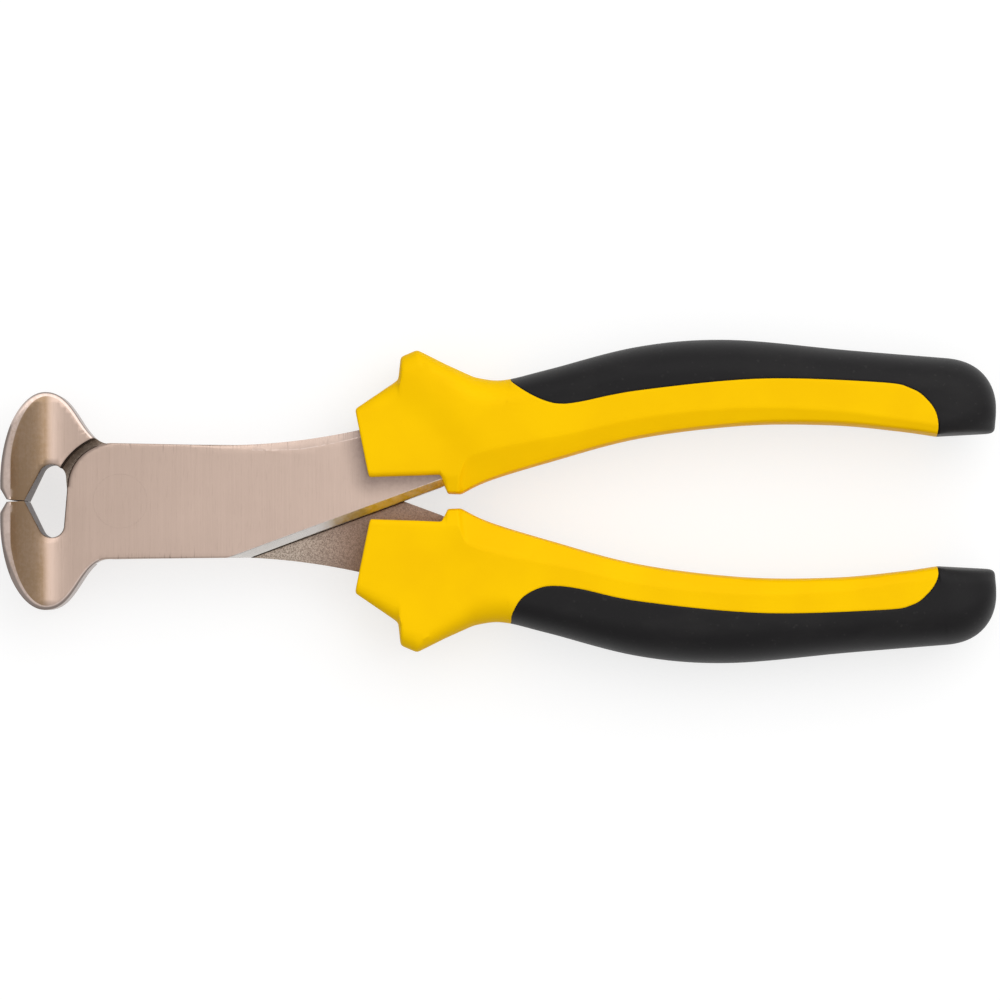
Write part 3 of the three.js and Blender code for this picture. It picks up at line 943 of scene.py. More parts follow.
    def plan(self) -> tuple[np.ndarray, np.ndarray, np.ndarray, np.ndarray]:
        """Triangles over the outline that follow every edge of the relief.

        Returns:
            Plan points, triangles, distance of each point to the outline and the rim next to it.
        """
        outline, rims = self.outline()
        loops = [outline, *(self.inset(outline, share * rims[:, 0]) for share in self.rim_shares)]
        loops.append(circle(self.bore_sides) * self.bore)
        lines = self.relief_lines()
        points, edges = [], []
        for number, row in enumerate(loops + lines):
            first, count = len(points), len(row)
            points.extend(row)
            spans = count if number < len(loops) else count - 1
            edges.extend((first + i, first + (i + 1) % count) for i in range(spans))
        low, high = -self.plate_half_width, self.plate_half_width
        flare_end = self.lip_x + self.flare_length + self.flare_margin
        left, right = self.wide_span
        grid = np.vstack([
            lattice((self.front_x, -self.jaw_span), (flare_end, high), self.flare_grid),
            lattice((left, low), (right, self.wide_top), self.wide_grid),
        ])
        away, rim = self.nearest(grid, outline, rims)
        points.extend(grid[self.inside(grid, outline) & (away > rim[:, 0] + self.grid_margin)])
        made = delaunay_2d_cdt([Vector(p) for p in points], edges, [], 0, self.weld)
        plan = np.array([tuple(v) for v in made[0]])
        triangles = np.array([f for f in made[2] if len(f) == 3])
        middle = plan[triangles].mean(1)
        kept = self.inside(middle, outline) & (np.linalg.norm(middle, axis=1) > self.bore)
        return plan, triangles[kept], *self.nearest(plan, outline, rims)

    def relief_lines(self) -> list[np.ndarray]:
        """Lines along the walls, the bevel's crest and the lip, which cross the half.

        Returns:
            Plan points of each line.
        """
        lines = []
        shoulder = (self.shoulder_foot, self.plate_half_width)
        draft = (self.draft_foot, -self.plate_half_width)
        soft = self.round_shares[0] * self.edge_round
        for offset in (-self.wall_slant, 0, soft, self.edge_round):
            lines.append(arc((0, 0), self.recess + offset, *self.recess_span, 61))
            lines.append(self.beside(shoulder, -1, offset))
        for offset in (-self.crest_foot, 0, self.crest[0]):
            lines.append(self.beside(draft, 1, self.bevel_width + offset))
        for x in (self.lip_x, self.lip_x + self.lip_round):
            top = (x, -self.outer_bevel - self.lip_margin)
            lines.append(line(top, (x, -self.jaw_span), 18))
        return lines

    def beside(self, start: Pair, slope: int, offset: float) -> np.ndarray:
        """Line along a diagonal edge, long enough to cross the half.

        Args:
            start: point of the edge.
            slope: 1 for an edge that rises along the tool, -1 for one that falls.
            offset: distance of the line above the edge.

        Returns:
            Plan points.
        """
        along = np.array([self.cosine, slope * self.sine])
        up = np.array([-slope * self.sine, self.cosine])
        first, last = (start + up * offset + reach * along for reach in self.diagonal_span)
        return line(first, last, 40)

    @staticmethod
    def inside(points: np.ndarray, outline: np.ndarray) -> np.ndarray:
        """Which points lie inside a closed outline.

        Args:
            points: plan points.
            outline: closed outline.

        Returns:
            Truth values.
        """
        x, y = points[:, :1], points[:, 1:]
        start, end = outline, np.roll(outline, -1, 0)
        crosses = (start[:, 1] > y) != (end[:, 1] > y)
        rise = np.where(start[:, 1] == end[:, 1], 1, end[:, 1] - start[:, 1])
        place = start[:, 0] + (y - start[:, 1]) * (end[:, 0] - start[:, 0]) / rise
        return ((crosses & (x < place)).sum(1) % 2) == 1

    @staticmethod
    def nearest(
        points: np.ndarray, outline: np.ndarray, rims: np.ndarray,
    ) -> tuple[np.ndarray, np.ndarray]:
        """Distance of points to the outline, at the place where they lie deepest in its rim.

        Args:
            points: plan points.
            outline: closed outline.
            rims: values of the rim at each point of the outline.

        Returns:
            Distances, and rims at those places.
        """
        away, share = to_segments(points, outline, np.roll(outline, -1, 0))
        next_rims = np.roll(rims, -1, 0)
        width = rims[:, 0] + (next_rims[:, 0] - rims[:, 0]) * share
        best = (away / width).argmin(1)
        row = np.arange(len(points))
        part = share[row, best][:, None]
        return away[row, best], rims[best] + (next_rims[best] - rims[best]) * part

    def into(self, plan: np.ndarray) -> np.ndarray:
        """Distance of plan points from the foot of the diagonal bevel into the plate."""
        across = (plan[:, 1] + self.plate_half_width) * self.cosine
        return across - (plan[:, 0] - self.draft_foot) * self.sine

    def in_hole(self, plan: np.ndarray) -> np.ndarray:
        """Which plan points lie about the hole between the jaws."""
        between = (plan[:, 0] > self.hole[0]) & (plan[:, 0] < self.hole[1])
        return between & (np.abs(plan[:, 1]) < self.hole_half_width)

    def swell(self, plan: np.ndarray) -> np.ndarray:
        """Half thickness of the ground side: plate, then the flare out to the lip."""
        return np.interp(plan[:, 0], self.flare[:, 0], self.flare[:, 1])

    def front(self, plan: np.ndarray, edge: np.ndarray) -> np.ndarray:
        """Height of the ground side.

        Args:
            plan: plan points.
            edge: share of the rim's fall at each point, times the fall.

        Returns:
            Heights over the lap plane.
        """
        x = plan[:, 0]
        tang = np.interp(x, self.tang_step, (self.plate_thickness, self.tang_rise))
        body = np.where(x > self.tang_step[0], tang, self.swell(plan))
        into = self.into(plan)
        rate = self.bevel_fall / self.bevel_width
        bevel = self.plate_thickness - (self.bevel_width - into) * rate
        width, fall = self.crest
        crest = np.interp(np.abs(into - self.bevel_width), (0, width), (fall, 0))
        return np.minimum(body, bevel) - crest - edge

    def back(self, plan: np.ndarray, edge: np.ndarray) -> np.ndarray:
        """Height of the lapped side: jaw, recess for the other plate, tang.

        Args:
            plan: plan points.
            edge: share of the rim's fall at each point, times the fall.

        Returns:
            Heights over the lap plane.
        """
        x, y = plan[:, 0], plan[:, 1]
        place, fall = self.round_shares
        rounding = np.array([(0, place, 1), (1, fall, 0)]) * self.edge_round
        out = np.linalg.norm(plan, axis=1) - self.recess
        past = (x - self.shoulder_foot) * self.sine + (y - self.plate_half_width) * self.cosine
        height = np.full(len(plan), self.lap)
        jaw = edge - self.swell(plan) + np.interp(out, *rounding)
        tang = edge / 2 - self.tang_depth + np.interp(past, *rounding)
        for reach, floor, where in ((out, jaw, (x < self.jaw_end) & (y < 0)), (past, tang, x > 0)):
            share = np.interp(reach, (-self.wall_slant, 0), (0, 1))
            height = np.where(where, height + (floor - height) * share, height)
        return height

    def grime(self, plan: np.ndarray) -> np.ndarray:
        """Painted shade along the sleeve mouth and its lip.

        Args:
            plan: plan points.

        Returns:
            Values from 0 to 1.
        """
        mouth = np.array(self.sleeve_mouth)
        away = to_segments(plan, mouth[:-1], mouth[1:])[0].min(1)
        return np.clip(1 - away / self.mouth_shade_reach, 0, 1) ** self.mouth_shade_power

    def masks(
        self, plan: np.ndarray, away: np.ndarray, rims: np.ndarray, share: np.ndarray,
    ) -> dict[str, np.ndarray]:
        """Wear, painted highlights and painted shade, for the points of the ground side and then of
        the lapped side.

        Args:
            plan: plan points.
            away: their distances to the outline.
            rims: the rims next to them.
            share: share of the rim's fall at each.

        Returns:
            Values by name.
        """
        x = plan[:, 0]
        before, behind = x < 0, x > 0
        upper = before & (plan[:, 1] > 0)
        flare = self.jaw_width / 2 - self.plate_thickness
        # share of the flare's rise, which sets the bronze tint and painted shade of the hollow
        deep = (self.swell(plan) - self.plate_thickness) / flare
        deep = np.where(x < self.lip_x + self.lip_edge, 0, deep)
        worked = np.where(rims[:, 1] > self.worked_fall, share, 0)
        # painted highlight along the bevel's crest
        width, crest_glint = self.crest_highlight
        crest = np.interp(np.abs(self.into(plan) - self.bevel_width), (0, width), (crest_glint, 0))
        # rim wear with a painted highlight, none by the plate's corner, joined with the painted
        # highlight of the bevel's crest
        wear_and_highlight = np.maximum(np.where(upper, 0, worked), crest)
        # rim value raised at the far end of the jaw, widening the painted shade on its rim
        chin = np.interp(plan[:, 1], self.chin, (self.chin_shade, 1))
        chin_shaded = np.where(before, np.minimum(wear_and_highlight * chin, 1), wear_and_highlight)
        facet = behind.astype(float)
        brink = np.where(behind, np.clip(1 - away / self.brink, 0, 1), 0)
        out = np.linalg.norm(plan, axis=1) - self.recess
        slot = np.where(before, np.interp(out, *zip(*self.slot)), 0)
        # painted shade on the worked rims of the plate's corner, by the gap
        nook_shade = np.where(upper, worked, 0)
        # painted shade and reflection towards the handle
        near = np.interp(x, self.handle_light_span, (0, 1))
        sides = {
            "hollow": (deep, deep * self.lapped_bronze_and_shade),
            "rim": (chin_shaded, wear_and_highlight),
            "facet": (facet, facet),
            "brink": (brink, brink),
            "grime": (np.maximum(self.grime(plan), nook_shade), slot),
            "sheltered": (near, near),
        }
        return {name: np.concatenate(pair).astype(np.float32) for name, pair in sides.items()}

    def build(self) -> bpy.types.Object:
        """Makes the half.

        Returns:
            The steel half, which stands for its node.
        """
        plan, triangles, away, rims = self.plan()
        part = np.clip(away / rims[:, 0], 0, 1)
        rounded = np.interp(part, (0, *self.rim_shares), (1, *self.rim_falls))
        share = 1 - part + (rounded - 1 + part) * rims[:, 2]
        edge = share * rims[:, 1]
        back = self.back(plan, edge)
        front = np.maximum(self.front(plan, edge), back + self.least_wall)
        shell = Shell()
        shell.add(np.column_stack([plan, front]))
        below = shell.add(np.column_stack([plan, back]))
        middle = plan[triangles].mean(1)
        bevel = self.into(middle) < self.bevel_width
        jaw = (np.linalg.norm(middle, axis=1) > self.recess) & (middle[:, 0] < self.jaw_end)
        borders = {}
        for triangle, on_bevel, on_jaw in zip(triangles.tolist(), bevel, jaw):
            a, b, c = triangle
            shell.faces.append((a, b, c))
            shell.finishes.append(int(SteelFace.BEVEL if on_bevel else SteelFace.GROUND))
            shell.faces.append((below + c, below + b, below + a))
            shell.finishes.append(int(SteelFace.GROUND if on_jaw else SteelFace.LAPPED))
            for one, two in ((a, b), (b, c), (c, a)):
                if (two, one) in borders:
                    del borders[two, one]
                else:
                    borders[one, two] = True
        side = np.where(self.in_hole(plan), int(SteelFace.HOLE), int(SteelFace.SIDE))
        side = np.where(self.into(plan) < self.draft_margin, int(SteelFace.BEVEL), side)
        for one, two in borders:
            finish = int(min(side[one], side[two]))
            shell.quad(two, one, below + one, below + two, finish)
        shell.masks = self.masks(plan, away, rims, share)
        name = self.lever.node("half")
        finishes = [GROUND, BLASTED, MILLED, SIDE, DULL]
        made = shell.piece(f"steel_{name}", self.lever, finishes, STEEL_CREASE)
        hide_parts(name)
        return made


@dataclass
class PivotRivet:
    """Flush rivet, ground down with the plates."""

    radius: float = 5.405
    half_length: float = 5.5
    edge: float = 0.004
    sides: int = 72
    rings: int = 6

    def build(self) -> bpy.types.Object:
        """Makes the rivet.

        Returns:
            The rivet, which stands for its node.
        """
        shell = Shell()
        rim = self.radius - self.edge
        low, high = -self.half_length, self.half_length
        profile = [(rim * i / self.rings, low) for i in range(1, self.rings + 1)]
        profile += [(self.radius, low + self.edge), (self.radius, high - self.edge)]
        profile += [(rim * i / self.rings, high) for i in range(self.rings, 0, -1)]
        ring = circle(self.sides)
        rings = [np.column_stack([ring * r, np.full(self.sides, z)]) for r, z in profile]
        starts = shell.loft(rings, True)
        for start, height in ((starts[0], low), (starts[-1], high)):
            middle = shell.add(np.array([[0, 0, height]]))
            for i in range(self.sides):
                shell.faces.append((middle, start + i, start + (i + 1) % self.sides))
                shell.finishes.append(0)
        made = shell.piece("ground_rivet", Lever.BACK, [GROUND], STEEL_CREASE)
        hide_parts("pivot_rivet")
        return made


# Handles


@dataclass
class Handle:
    """Two-component handle: hard sleeve with collar and stop, soft grip on palm side and tail."""

    lever: Lever
    mouth_reach: float = 47.0
    collar_outer: Knots = (
        (0, 18.4), (8.6, 24.3), (9.1, 28.9), (12.4, 30.3), (18.2, 27.4), (23.8, 24.9),
    )
    collar_inner: Knots = (
        (2.9, 4.1), (9, 4.3), (12.6, 4.4), (17.2, 4.6), (18.5, 1.5), (21.2, 1.4),
    )
    palm_side: Knots = (
        (29.5, 24.3), (38.8, 26.5), (56.8, 31.1), (74.8, 32.49), (98.8, 30.4), (118.8, 28.8),
    )
    finger_side: Knots = (
        (26.8, 4.1), (38.8, 7.8), (56.8, 12.6), (77.8, 15.2), (95.8, 15.3), (109, 14.1),
        (116.8, 13),
    )
    tail_outer: Knots = ((118.8, 28.8), (125.33, 28.5), (128.6, 23.9), (128.6, 19))
    tail_inner: Knots = (
        (116.8, 13), (126.9, 13.53), (127.6, 13.62), (128.05, 13.85), (128.33, 14.25),
        (128.42, 14.8),
    )
    parting_front: Knots = (
        (30.7, 25.4), (31, 24.4), (32.2, 23.3), (35, 21.4), (38, 20), (41, 19.4), (45, 19.8),
        (57, 22.1), (81, 24.4), (105, 23.7), (111.2, 22.4), (114.3, 20.2), (116.2, 17.2),
        (116.7, 12.5),
    )
    parting_back: Knots = (
        (30.7, 25.4), (31, 24.4), (31.7, 22.1), (33.4, 19.4), (36.4, 17.6), (39.6, 17), (45, 17.6),
        (57, 20.1), (81, 22.4), (105, 21.8), (111.2, 20.8), (114.3, 18.6), (116.2, 15.8),
        (116.7, 12.5),
    )
    valley: Knots = ((12.2, 23.6), (25.6, 13.4))
    valley_slope: Pair = (-6.5, 1.5)
    collar_depth: float = 1.1
    collar_end: Pair = (16.0, 30.0)
    lip_lean: float = 0.75
    lip_places: tuple = (0, 3, 3.8)
    mouth_round: float = 0.55
    corner_soft: float = 0.5
    crease_soft: float = 0.28
    seam_gap: float = 0.05
    seam_fall: float = 0.16
    seam_width: float = 0.4
    core_inset: float = 1.25
    core_share: float = 0.6
    fall_share: float = 0.3
    gap_share: float = 0.25
    liner_share: float = 0.06
    lean_limit: float = 0.4
    foot_limit: float = 0.4
    least_height: float = 0.01
    least_soft: float = 0.3
    step: float = 0.4
    close_step: float = 0.06
    wide_step: float = 1.1
    nose_cuts: Pair = (6.8, 11.6)
    end_cuts: float = 4.2
    nose_run: float = 20.0
    end_run: float = 8.0
    eased: Pair = (5.5, 5.9)
    nose_rate: float = 12.0
    end_rate: float = 24.0
    mouth_aim: int = 3
    mouth_count: int = 6
    curve_count: int = 60
    tail_counts: tuple[int, int] = (26, 80)
    quarter_count: int = 24
    flat_counts: tuple[int, int, int] = (6, 12, 12)
    cut_count: int = 181
    parting_count: int = 40
    grip_count: int = 33
    top_count: int = 29
    side_count: int = 10
    crowding: float = 1.4

    # Section along the handle: 0 to 5 at the collar's corners, then palm and tail, one unit each
    heights: Knots = ((0, 8.4), (1, 8.5), (4, 8.5), (5, 8.5), (5.5, 8.6), (6, 8.2), (7, 8.2))
    rounds: Knots = (
        (0, 1.5), (1, 3.4), (2, 3.2), (3, 2.6), (4, 3.5), (5, 5.0), (5.5, 7.5), (6, 7.0),
    )
    walls: Knots = ((0, 6.6), (1, 4.0), (3, 4.2), (4, 3.5), (5, 2.0), (5.5, 0.0))
    flanks: Knots = (
        (0, 0.8), (3.0, 0.8), (3.3, 1.4), (4.0, 3.4), (4.8, 3.6), (5.0, 7.1), (5.12, 5.7),
        (5.25, 4.4), (5.51, 3.7), (5.68, 3.1), (5.89, 2.2), (6, 2.0), (6.15, 2.8), (7, 2.8),
    )
    flank_slopes: Knots = (
        (0, 1.0), (3.1, 1.0), (4.0, 0.42), (5.0, 0.36), (5.5, 0.45), (6, 0.5), (7, 0.6),
    )
    flank_leans: Knots = (
        (0, 0.25), (3, 0.25), (4, 0.4), (5, 0.45), (5.5, 0.55), (6, 0.55), (6.15, 1.1),
    )

    def spacing(self, run: float) -> Iterator[tuple[float, float, float]]:
        """Cuts across the palm, close where the parting runs across the handle.

        Args:
            run: length of the palm side.

        Yields:
            Start, end and spacing of a stretch of cuts.
        """
        nose, end = self.nose_cuts, run - self.end_cuts
        yield 0, nose[0], self.step
        yield *nose, self.close_step
        yield nose[1], self.nose_run, self.step
        yield self.nose_run, end - self.end_run, self.wide_step
        yield end - self.end_run, end, self.step
        yield end, run, self.close_step

    def stations(self) -> None:
        """Sets the cuts across the handle: their two ends, sections and mouth rounding."""
        outer, inner, place = [], [], []
        for i in range(len(self.collar_outer) - 1):
            start, end = np.array(self.collar_outer[i:i + 2], float)
            base, tip = np.array(self.collar_inner[i:i + 2], float)
            longest = max(np.linalg.norm(end - start), np.linalg.norm(tip - base))
            share = np.linspace(0, 1, int(longest / self.step) + 2)[:-1, None]
            outer.append(start + (end - start) * share)
            inner.append(base + (tip - base) * share)
            place.append(i + share[:, 0])
        palm = spline([self.collar_outer[-1], *self.palm_side], self.curve_count)
        finger = spline([self.collar_inner[-1], *self.finger_side], self.curve_count)
        run = lengths(palm)[-1]
        share = np.concatenate([np.arange(*stretch) for stretch in self.spacing(run)]) / run
        palm_place = len(place)
        cuts, count = self.tail_counts
        tail = np.sin(np.linspace(0, math.pi / 2, cuts))
        tail_inner = np.array(self.tail_inner, float)
        outer += [at_shares(palm, share), at_shares(bezier(list(self.tail_outer), count), tail)]
        inner += [at_shares(finger, share), at_shares(tail_inner, tail)]
        place += [palm_place + share, palm_place + 1 + tail]
        reach = self.corner_soft / self.step
        ends = softened(np.hstack([np.vstack(outer), np.vstack(inner)]), reach)
        where = np.concatenate(place)
        keys = (
            self.heights, self.rounds, self.walls, self.flanks, self.flank_slopes, self.flank_leans,
        )
        table = np.stack([np.interp(where, *zip(*key)) for key in keys], 1)
        table = softened(table, reach)
        past = np.clip(where - (palm_place + 1), 0, 1)
        table[:, 0] *= np.sqrt(np.clip(1 - past ** 2, 0, 1))
        turns = np.radians(np.linspace(0, 90, self.mouth_count))[:-1]
        ahead = ends[self.mouth_aim] - ends[0]
        ahead = ahead / np.linalg.norm(ahead[:2])
        mouth = [ends[0] + ahead * self.mouth_round * (1 - math.cos(t)) for t in turns]
        kept = np.linalg.norm(ends[:, :2] - ends[0, :2], axis=1) > self.mouth_round
        self.ends = np.vstack([mouth, ends[kept]])
        self.table = np.vstack([np.repeat(table[:1], len(turns), 0), table[kept]])
        self.where = np.concatenate([np.zeros(len(turns)), where[kept]])
        self.pulled = np.zeros(len(self.ends))
        self.pulled[:len(turns)] = self.mouth_round * (1 - np.sin(turns))
        self.cuts = [self.section(number) for number in range(len(self.ends))]

    def across(self, number: int) -> tuple[np.ndarray, np.ndarray, float]:
        """Palm end of one cut, the way to its finger end and the length of that."""
        way = self.ends[number, 2:] - self.ends[number, :2]
        return self.ends[number, :2], way, float(np.linalg.norm(way))

    def section(self, number: int) -> tuple[np.ndarray, float, float]:
        """Upper half of one cut.

        Args:
            number: number of the station.

        Returns:
            Polyline of distance from the palm side and height, and its length up to the flank's
            crease and to the end of the flank.
        """
        pulled = self.pulled[number]
        height, palm_round, wall, flank, slope, lean = self.table[number]
        width = self.across(number)[2] - 2 * pulled
        height = max(height - pulled, 0)
        palm_round = min(palm_round, width / 2)
        flank = min(flank, width - palm_round)
        lean = min(lean, self.lean_limit * flank)
        wall = min(wall, height)
        foot = max(height - slope * (flank - lean), self.foot_limit * height)
        quarter = np.linspace(0, math.pi / 2, self.quarter_count)
        cosine, sine = np.cos(quarter), np.sin(quarter)
        side, top, slant = self.flat_counts
        rows = [
            line((0, 0), (0, wall), side)[:-1],
            np.column_stack([palm_round * (1 - cosine), wall + (height - wall) * sine]),
            line((palm_round, height), (width - flank, height), top)[1:-1],
            line((width - flank, height), (width - lean, foot), slant)[:-1],
            np.column_stack([width - lean * (1 - cosine), foot * sine])[::-1],
        ]
        raw = np.vstack(rows) + (pulled, 0)
        run = lengths(raw)
        crease, end = run[sum(map(len, rows[:3]))], run[-len(quarter)]
        even = at_shares(raw, np.linspace(0, 1, self.cut_count))
        reach = max(self.crease_soft / (run[-1] / (self.cut_count - 1)), self.least_soft)
        return softened(even, reach, (1, -1)), crease, end

    def split(self, number: int, parting: np.ndarray) -> float:
        """Length along half a cut that the grip covers.

        Args:
            number: number of the station.
            parting: parting line on this side, as plan points.

        Returns:
            Nothing before the grip, the length of the whole half cut behind the sleeve.
        """
        rows = self.cuts[number][0]
        run = lengths(rows)
        start, way, width = self.across(number)
        plan = start + rows[:, :1] * way / width
        border = np.interp(plan[:, 0], *parting.T, left=FAR, right=-FAR)
        above = plan[:, 1] - border
        bare = np.flatnonzero(above < 0)
        if len(bare) == 0:
            return run[-1]
        k = bare[0]
        if k == 0:
            return 0.0
        share = 1.0
        if above[k - 1] < FAR / 10:
            share = above[k - 1] / max(above[k - 1] - above[k], TINY)
        return run[k - 1] + (run[k] - run[k - 1]) * min(max(share, 0), 1)

    def splits(self, knots: Knots) -> np.ndarray:
        """Lengths that the grip covers on one side, eased where the parting runs across.

        Args:
            knots: knots of the parting line.

        Returns:
            One length for each station.
        """
        parting = spline(list(knots), self.parting_count)
        covered = np.array([self.split(number, parting) for number in range(len(self.ends))])
        gaps = np.linalg.norm(np.diff(self.ends[:, :2], axis=0), axis=1)
        for i in np.flatnonzero(self.where < self.eased[0])[1:]:
            covered[i] = min(covered[i], covered[i - 1] + self.nose_rate * gaps[i - 1])
        for i in np.flatnonzero(self.where > self.eased[1])[-2::-1]:
            covered[i] = max(covered[i], covered[i + 1] - self.end_rate * gaps[i])
        return covered

    def collar(self, plan: np.ndarray) -> np.ndarray:
        """How far the collar lies under the crown of the handle.

        Args:
            plan: plan points, from the sleeve mouth.

        Returns:
            Depths, nothing behind the valley.
        """
        start, end = np.array(self.valley)
        past = (plan - start) @ sideways(np.array([end - start]))[0]
        share = np.clip(np.interp(past, self.valley_slope, (0, 1)), 0, 1)
        behind = np.interp(plan[:, 0], self.collar_end, (0, 1))
        crown = 1 - (1 - smooth(share)) * (1 - smooth(behind))
        return self.collar_depth * (1 - crown)

    def columns(self, number: int, split: float) -> tuple[np.ndarray, np.ndarray, np.ndarray, bool]:
        """Points of half a cut, split at the parting.

        Args:
            number: number of the station.
            split: length that the grip covers.

        Returns:
            Rows of across, height for the grip's outside, the core under it and the sleeve's
            outside, and whether the grip covers the whole cut.
        """
        rows, crease, end = self.cuts[number]
        run = lengths(rows)
        whole = split > run[-1] - CLOSE
        outward = sideways(np.gradient(rows, axis=0))

        def picked(marks: np.ndarray, sunk: np.ndarray) -> np.ndarray:
            """Rows at lengths along the cut, sunk under its surface."""
            out = interpolated(marks, run, outward)
            return interpolated(marks, run, rows) - out * sunk[:, None]

        def seam(marks: np.ndarray) -> np.ndarray:
            """Fall of a surface towards the seam.

            Args:
                marks: lengths along the cut.

            Returns:
                Depths, nothing on a cut of one material.
            """
            if split <= 0 or whole:
                return np.zeros(len(marks))
            near = np.clip(1 - np.abs(marks - split) / self.seam_width, 0, 1)
            return min(self.seam_fall, self.fall_share * split) * near ** 2

        gap = min(self.seam_gap / 2, self.gap_share * split)
        share = np.linspace(0, 1, self.grip_count)
        grip = (split if whole else split - gap) * (1 - (1 - share) ** self.crowding)
        crease, end = max(crease, split), max(end, split)
        share = smooth(np.linspace(0, 1, self.top_count))
        top = np.maximum(split + gap + (crease - split - gap) * share, split)
        share = np.linspace(0, 1, self.side_count)[1:]
        flank = crease + (end - crease) * share ** self.crowding
        side = end + (run[-1] - end) * share
        bare = np.minimum(np.concatenate([top, flank, side]), run[-1])
        deep = np.full(len(grip), min(self.core_inset, self.core_share * split))
        return picked(grip, seam(grip)), picked(grip, deep), picked(bare, seam(bare)), whole

    def raised(self, number: int, rows: np.ndarray, side: int) -> np.ndarray:
        """Rows of a cut as points of the tool.

        Args:
            number: number of the station.
            rows: across and height.
            side: 1 for the front of the handle, -1 for its back.

        Returns:
            Points in the tool's frame.
        """
        start, way, width = self.across(number)
        height = max(self.table[number, 0], self.least_height)
        lean = self.lip_lean * np.interp(self.where[number], self.lip_places, (1, 1, 0))
        lean = lean * side * (rows[:, 1] / height)
        reach = rows[:, 0] - lean * np.clip(rows[:, 0] / width, 0, 1) ** 2
        plan = start + reach[:, None] * (way / width)
        lift = 1 - self.collar(plan) / max(height, 2 * self.collar_depth)
        return np.column_stack([plan + (self.mouth_reach, 0), side * rows[:, 1] * lift])

    def build(self) -> tuple[bpy.types.Object, bpy.types.Object]:
        """Makes both pieces.

        Returns:
            The hard sleeve and the soft grip, which stand for their nodes.
        """
        self.stations()
        covered = {1: self.splits(self.parting_front), -1: self.splits(self.parting_back)}
        sleeve_rings, outer_rings, inner_rings = [], [], []
        ended = False
        for number in range(len(self.ends)):
            halves = {}
            for side in (1, -1):
                grip, core, bare, whole = self.columns(number, covered[side][number])
                kinds = (grip, core, bare, core + (grip - core) * self.liner_share)
                halves[side] = [self.raised(number, rows, side) for rows in kinds]
            upper, lower = halves[1], halves[-1]
            outer_rings.append((upper[0], lower[0]))
            if not ended:
                inner_rings.append((upper[3], lower[3]))
                ring = [upper[1], upper[2], lower[2][::-1], lower[1][::-1]]
                sleeve_rings.append(np.vstack(ring))
                ended = whole
        return self.sleeve(sleeve_rings), self.grip(outer_rings, inner_rings)

    def sleeve(self, rings: list[np.ndarray]) -> bpy.types.Object:
        """Makes the hard sleeve.

        Args:
            rings: rings from the mouth to the end of the core.

        Returns:
            The sleeve, which stands for its node.
        """
        shell = Shell()
        starts = shell.loft(rings, True)
        half = len(rings[0]) // 2
        for start in (starts[0], starts[-1]):
            last = start + 2 * half - 1
            shell.cap([start + i for i in range(half)], [last - i for i in range(half)])
        name = self.lever.node("sleeve")
        made = shell.piece(f"yellow_{name}", self.lever, [YELLOW], PLASTIC_CREASE)
        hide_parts(name)
        return made

    def grip(self, outer: list[tuple], inner: list[tuple]) -> bpy.types.Object:
        """Makes the soft grip.

        Args:
            outer: upper and lower half of each outside ring, over the whole handle.
            inner: the same under the grip, up to the end of the sleeve's core.

        Returns:
            The grip, which stands for its node.
        """
        first = next(i for i, (upper, _) in enumerate(outer) if np.ptp(upper[:, 2]) > 0) - 1
        shell = Shell()
        across, under = (
            [np.vstack([upper[::-1], lower[1:]]) for upper, lower in rings[first:]]
            for rings in (outer, inner)
        )
        top = shell.loft(across, False)
        low = shell.loft(under, False)
        final = len(across[0]) - 1
        for a, b, c, d in zip(top, top[1:], low[1:], low):
            shell.quad(a, b, c, d)
            shell.quad(a + final, d + final, c + final, b + final)
        half = final // 2
        middle, steps = low[-1] + half, range(half + 1)
        shell.cap([middle - i for i in steps], [middle + i for i in steps])
        name = self.lever.node("grip")
        made = shell.piece(f"black_{name}", self.lever, [BLACK], PLASTIC_CREASE)
        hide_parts(name)
        return made


# Studio


@dataclass(frozen=True)
class SoftBox:
    """A square lamp that points at the tool."""

    name: str
    azimuth: float
    elevation: float
    distance: float
    size: float
    watts: float

    def build(self) -> bpy.types.Object:
        """Makes the lamp, aimed at the middle of the tool.

        Returns:
            The lamp.
        """
        lamp = bpy.data.lights.new(self.name, "AREA")
        lamp.size, lamp.energy = self.size, self.watts
        made = placed(self.name, lamp)
        ring = math.cos(math.radians(self.elevation)) * unit(self.azimuth)
        back = Vector((*ring, math.sin(math.radians(self.elevation))))
        made.location = back * self.distance
        made.rotation_euler = back.to_track_quat("Z", "Y").to_euler()
        return made


@dataclass(frozen=True)
class PaleFloor(Finish):
    """White paper floor, topped up to white where it is looked at, with its shadows kept."""

    colour: Colour = rgb(0.38, 0.38, 0.38)
    top_up: float = 0.68

    def wire(self, graph: Graph) -> None:
        """Wires the paper and the top-up for camera, glossy and transmission rays.

        Args:
            graph: empty graph of the material.
        """
        kinds = ("Camera", "Glossy", "Transmission")
        rays = [graph.node("LightPath", {}, {}, f"Is {kind} Ray") for kind in kinds]
        seen = (rays[0] + rays[1] + rays[2]).limited()
        paper = graph.node("BsdfDiffuse", {}, {"Color": self.colour})
        glow = graph.node("Emission", {}, {"Strength": self.top_up})
        lit = graph.node("AddShader", {}, {0: paper, 1: glow})
        shown = graph.node("MixShader", {}, {0: seen, 1: paper, 2: lit})
        graph.node("OutputMaterial", {}, {"Surface": shown})


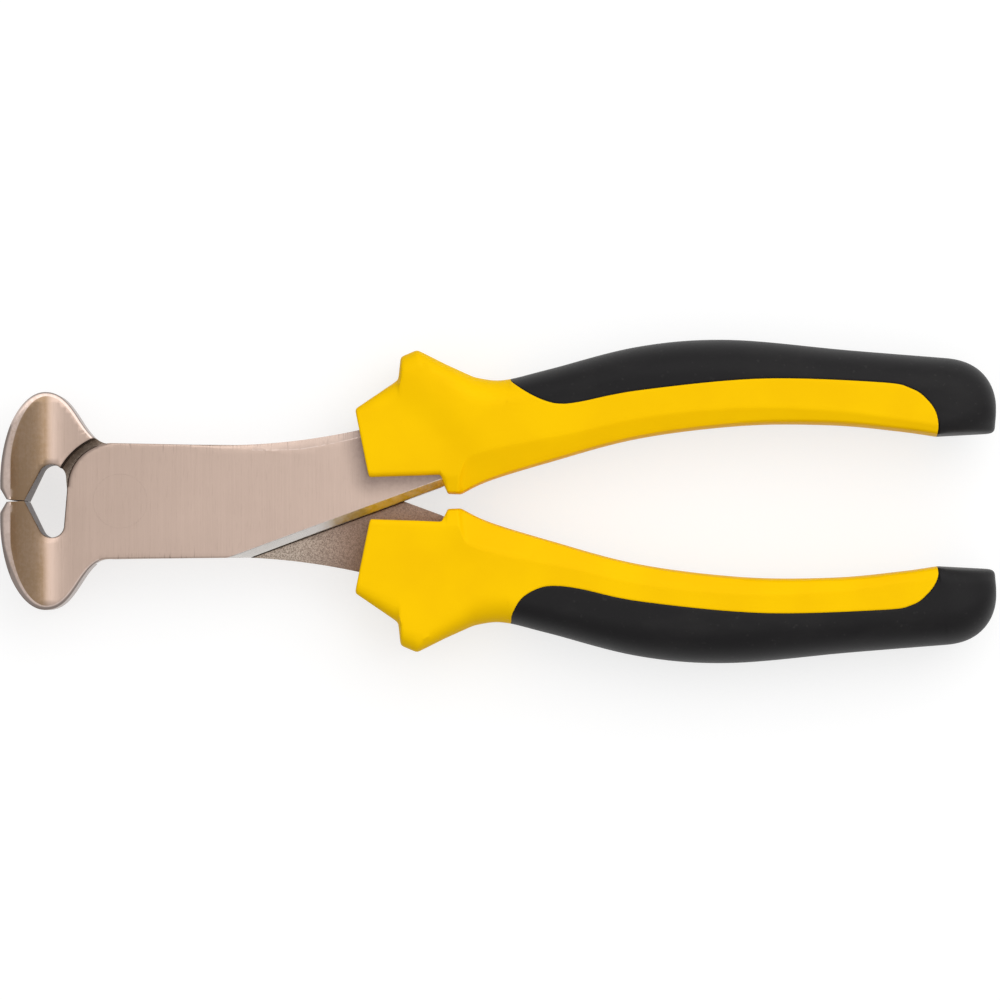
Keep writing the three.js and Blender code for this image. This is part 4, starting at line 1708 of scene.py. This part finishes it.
@dataclass
class Studio:
    """Floor, soft light and the camera that looks straight down on the tool."""

    view_width: float = 0.2
    view_height: float = 0.0165
    view_centre: Pair = (0.0, 0.0002)
    distance: float = 1.25
    view_drop: float = 0.02
    sensor: float = 36.0
    floor_radius: float = 6.0
    floor_sides: int = 96
    sky: Knots = ((0.0, 0.64), (0.5, 0.64), (0.82, 0.68), (0.89, 0.8), (1.0, 1.0))
    sky_lean: Pair = (0.18, 0.2)
    lamps: tuple = (
        SoftBox("key_box", 58, 48, 1.5, 1.5, 7.4),
        SoftBox("band_box", 0, 66, 1.4, 0.42, 0.52),
    )

    def floor(self) -> None:
        """Lays the round floor that the tool rests on."""
        ring = circle(self.floor_sides) * self.floor_radius
        corners = np.column_stack([ring, np.zeros(self.floor_sides)])
        mesh = bpy.data.meshes.new("paper_floor")
        mesh.from_pydata(corners.tolist(), [], [tuple(range(self.floor_sides))])
        mesh.materials.append(PaleFloor("pale_paper").material())
        placed("paper_floor", mesh)

    def light(self) -> None:
        """Sets the soft sky and the lamps."""
        world = bpy.data.worlds.new("soft_sky")
        world.use_nodes = True
        bpy.context.scene.world = world
        graph = Graph(world.node_tree)
        direction = graph.node("TexCoord", {}, {}, "Generated")
        height = graph.node("SeparateXYZ", {}, {0: direction}, "Z")
        stops = [(place, rgb(grey, grey, grey)) for place, grey in self.sky]
        colour = graph.node("ValToRGB", {"stops": stops}, {0: height * 0.5 + 0.5})
        sides = {0: direction, 1: (*self.sky_lean, 0)}
        aside = graph.node("VectorMath", {"operation": "DOT_PRODUCT"}, sides, "Value")
        sky = graph.node("Background", {}, {"Color": colour, "Strength": aside + 1})
        graph.node("OutputWorld", {}, {"Surface": sky})
        for lamp in self.lamps:
            lamp.build()

    def camera(self) -> None:
        """Sets the camera straight over the tool, framed on its plates."""
        eye = bpy.data.cameras.new("eye")
        eye.sensor_width = self.sensor
        eye.lens = self.sensor * math.hypot(self.distance, self.view_drop) / self.view_width
        made = placed("eye", eye)
        target = Vector((*self.view_centre, self.view_height))
        made.location = target + Vector((0, -self.view_drop, self.distance))
        made.rotation_euler = (made.location - target).to_track_quat("Z", "Y").to_euler()
        bpy.context.scene.camera = made

    def build(self) -> None:
        """Sets up floor, light, camera and plain colour management."""
        self.floor()
        self.light()
        self.camera()
        bpy.context.scene.view_settings.view_transform = "Standard"


def main() -> None:
    """Builds every piece and the studio."""
    logging.basicConfig(level=logging.INFO, format="%(name)s %(message)s")
    Studio().build()
    for lever in Lever:
        SteelHalf(lever).build()
        Handle(lever).build()
    PivotRivet().build()
    bpy.context.view_layer.update()


if __name__ == "__main__":
    main()
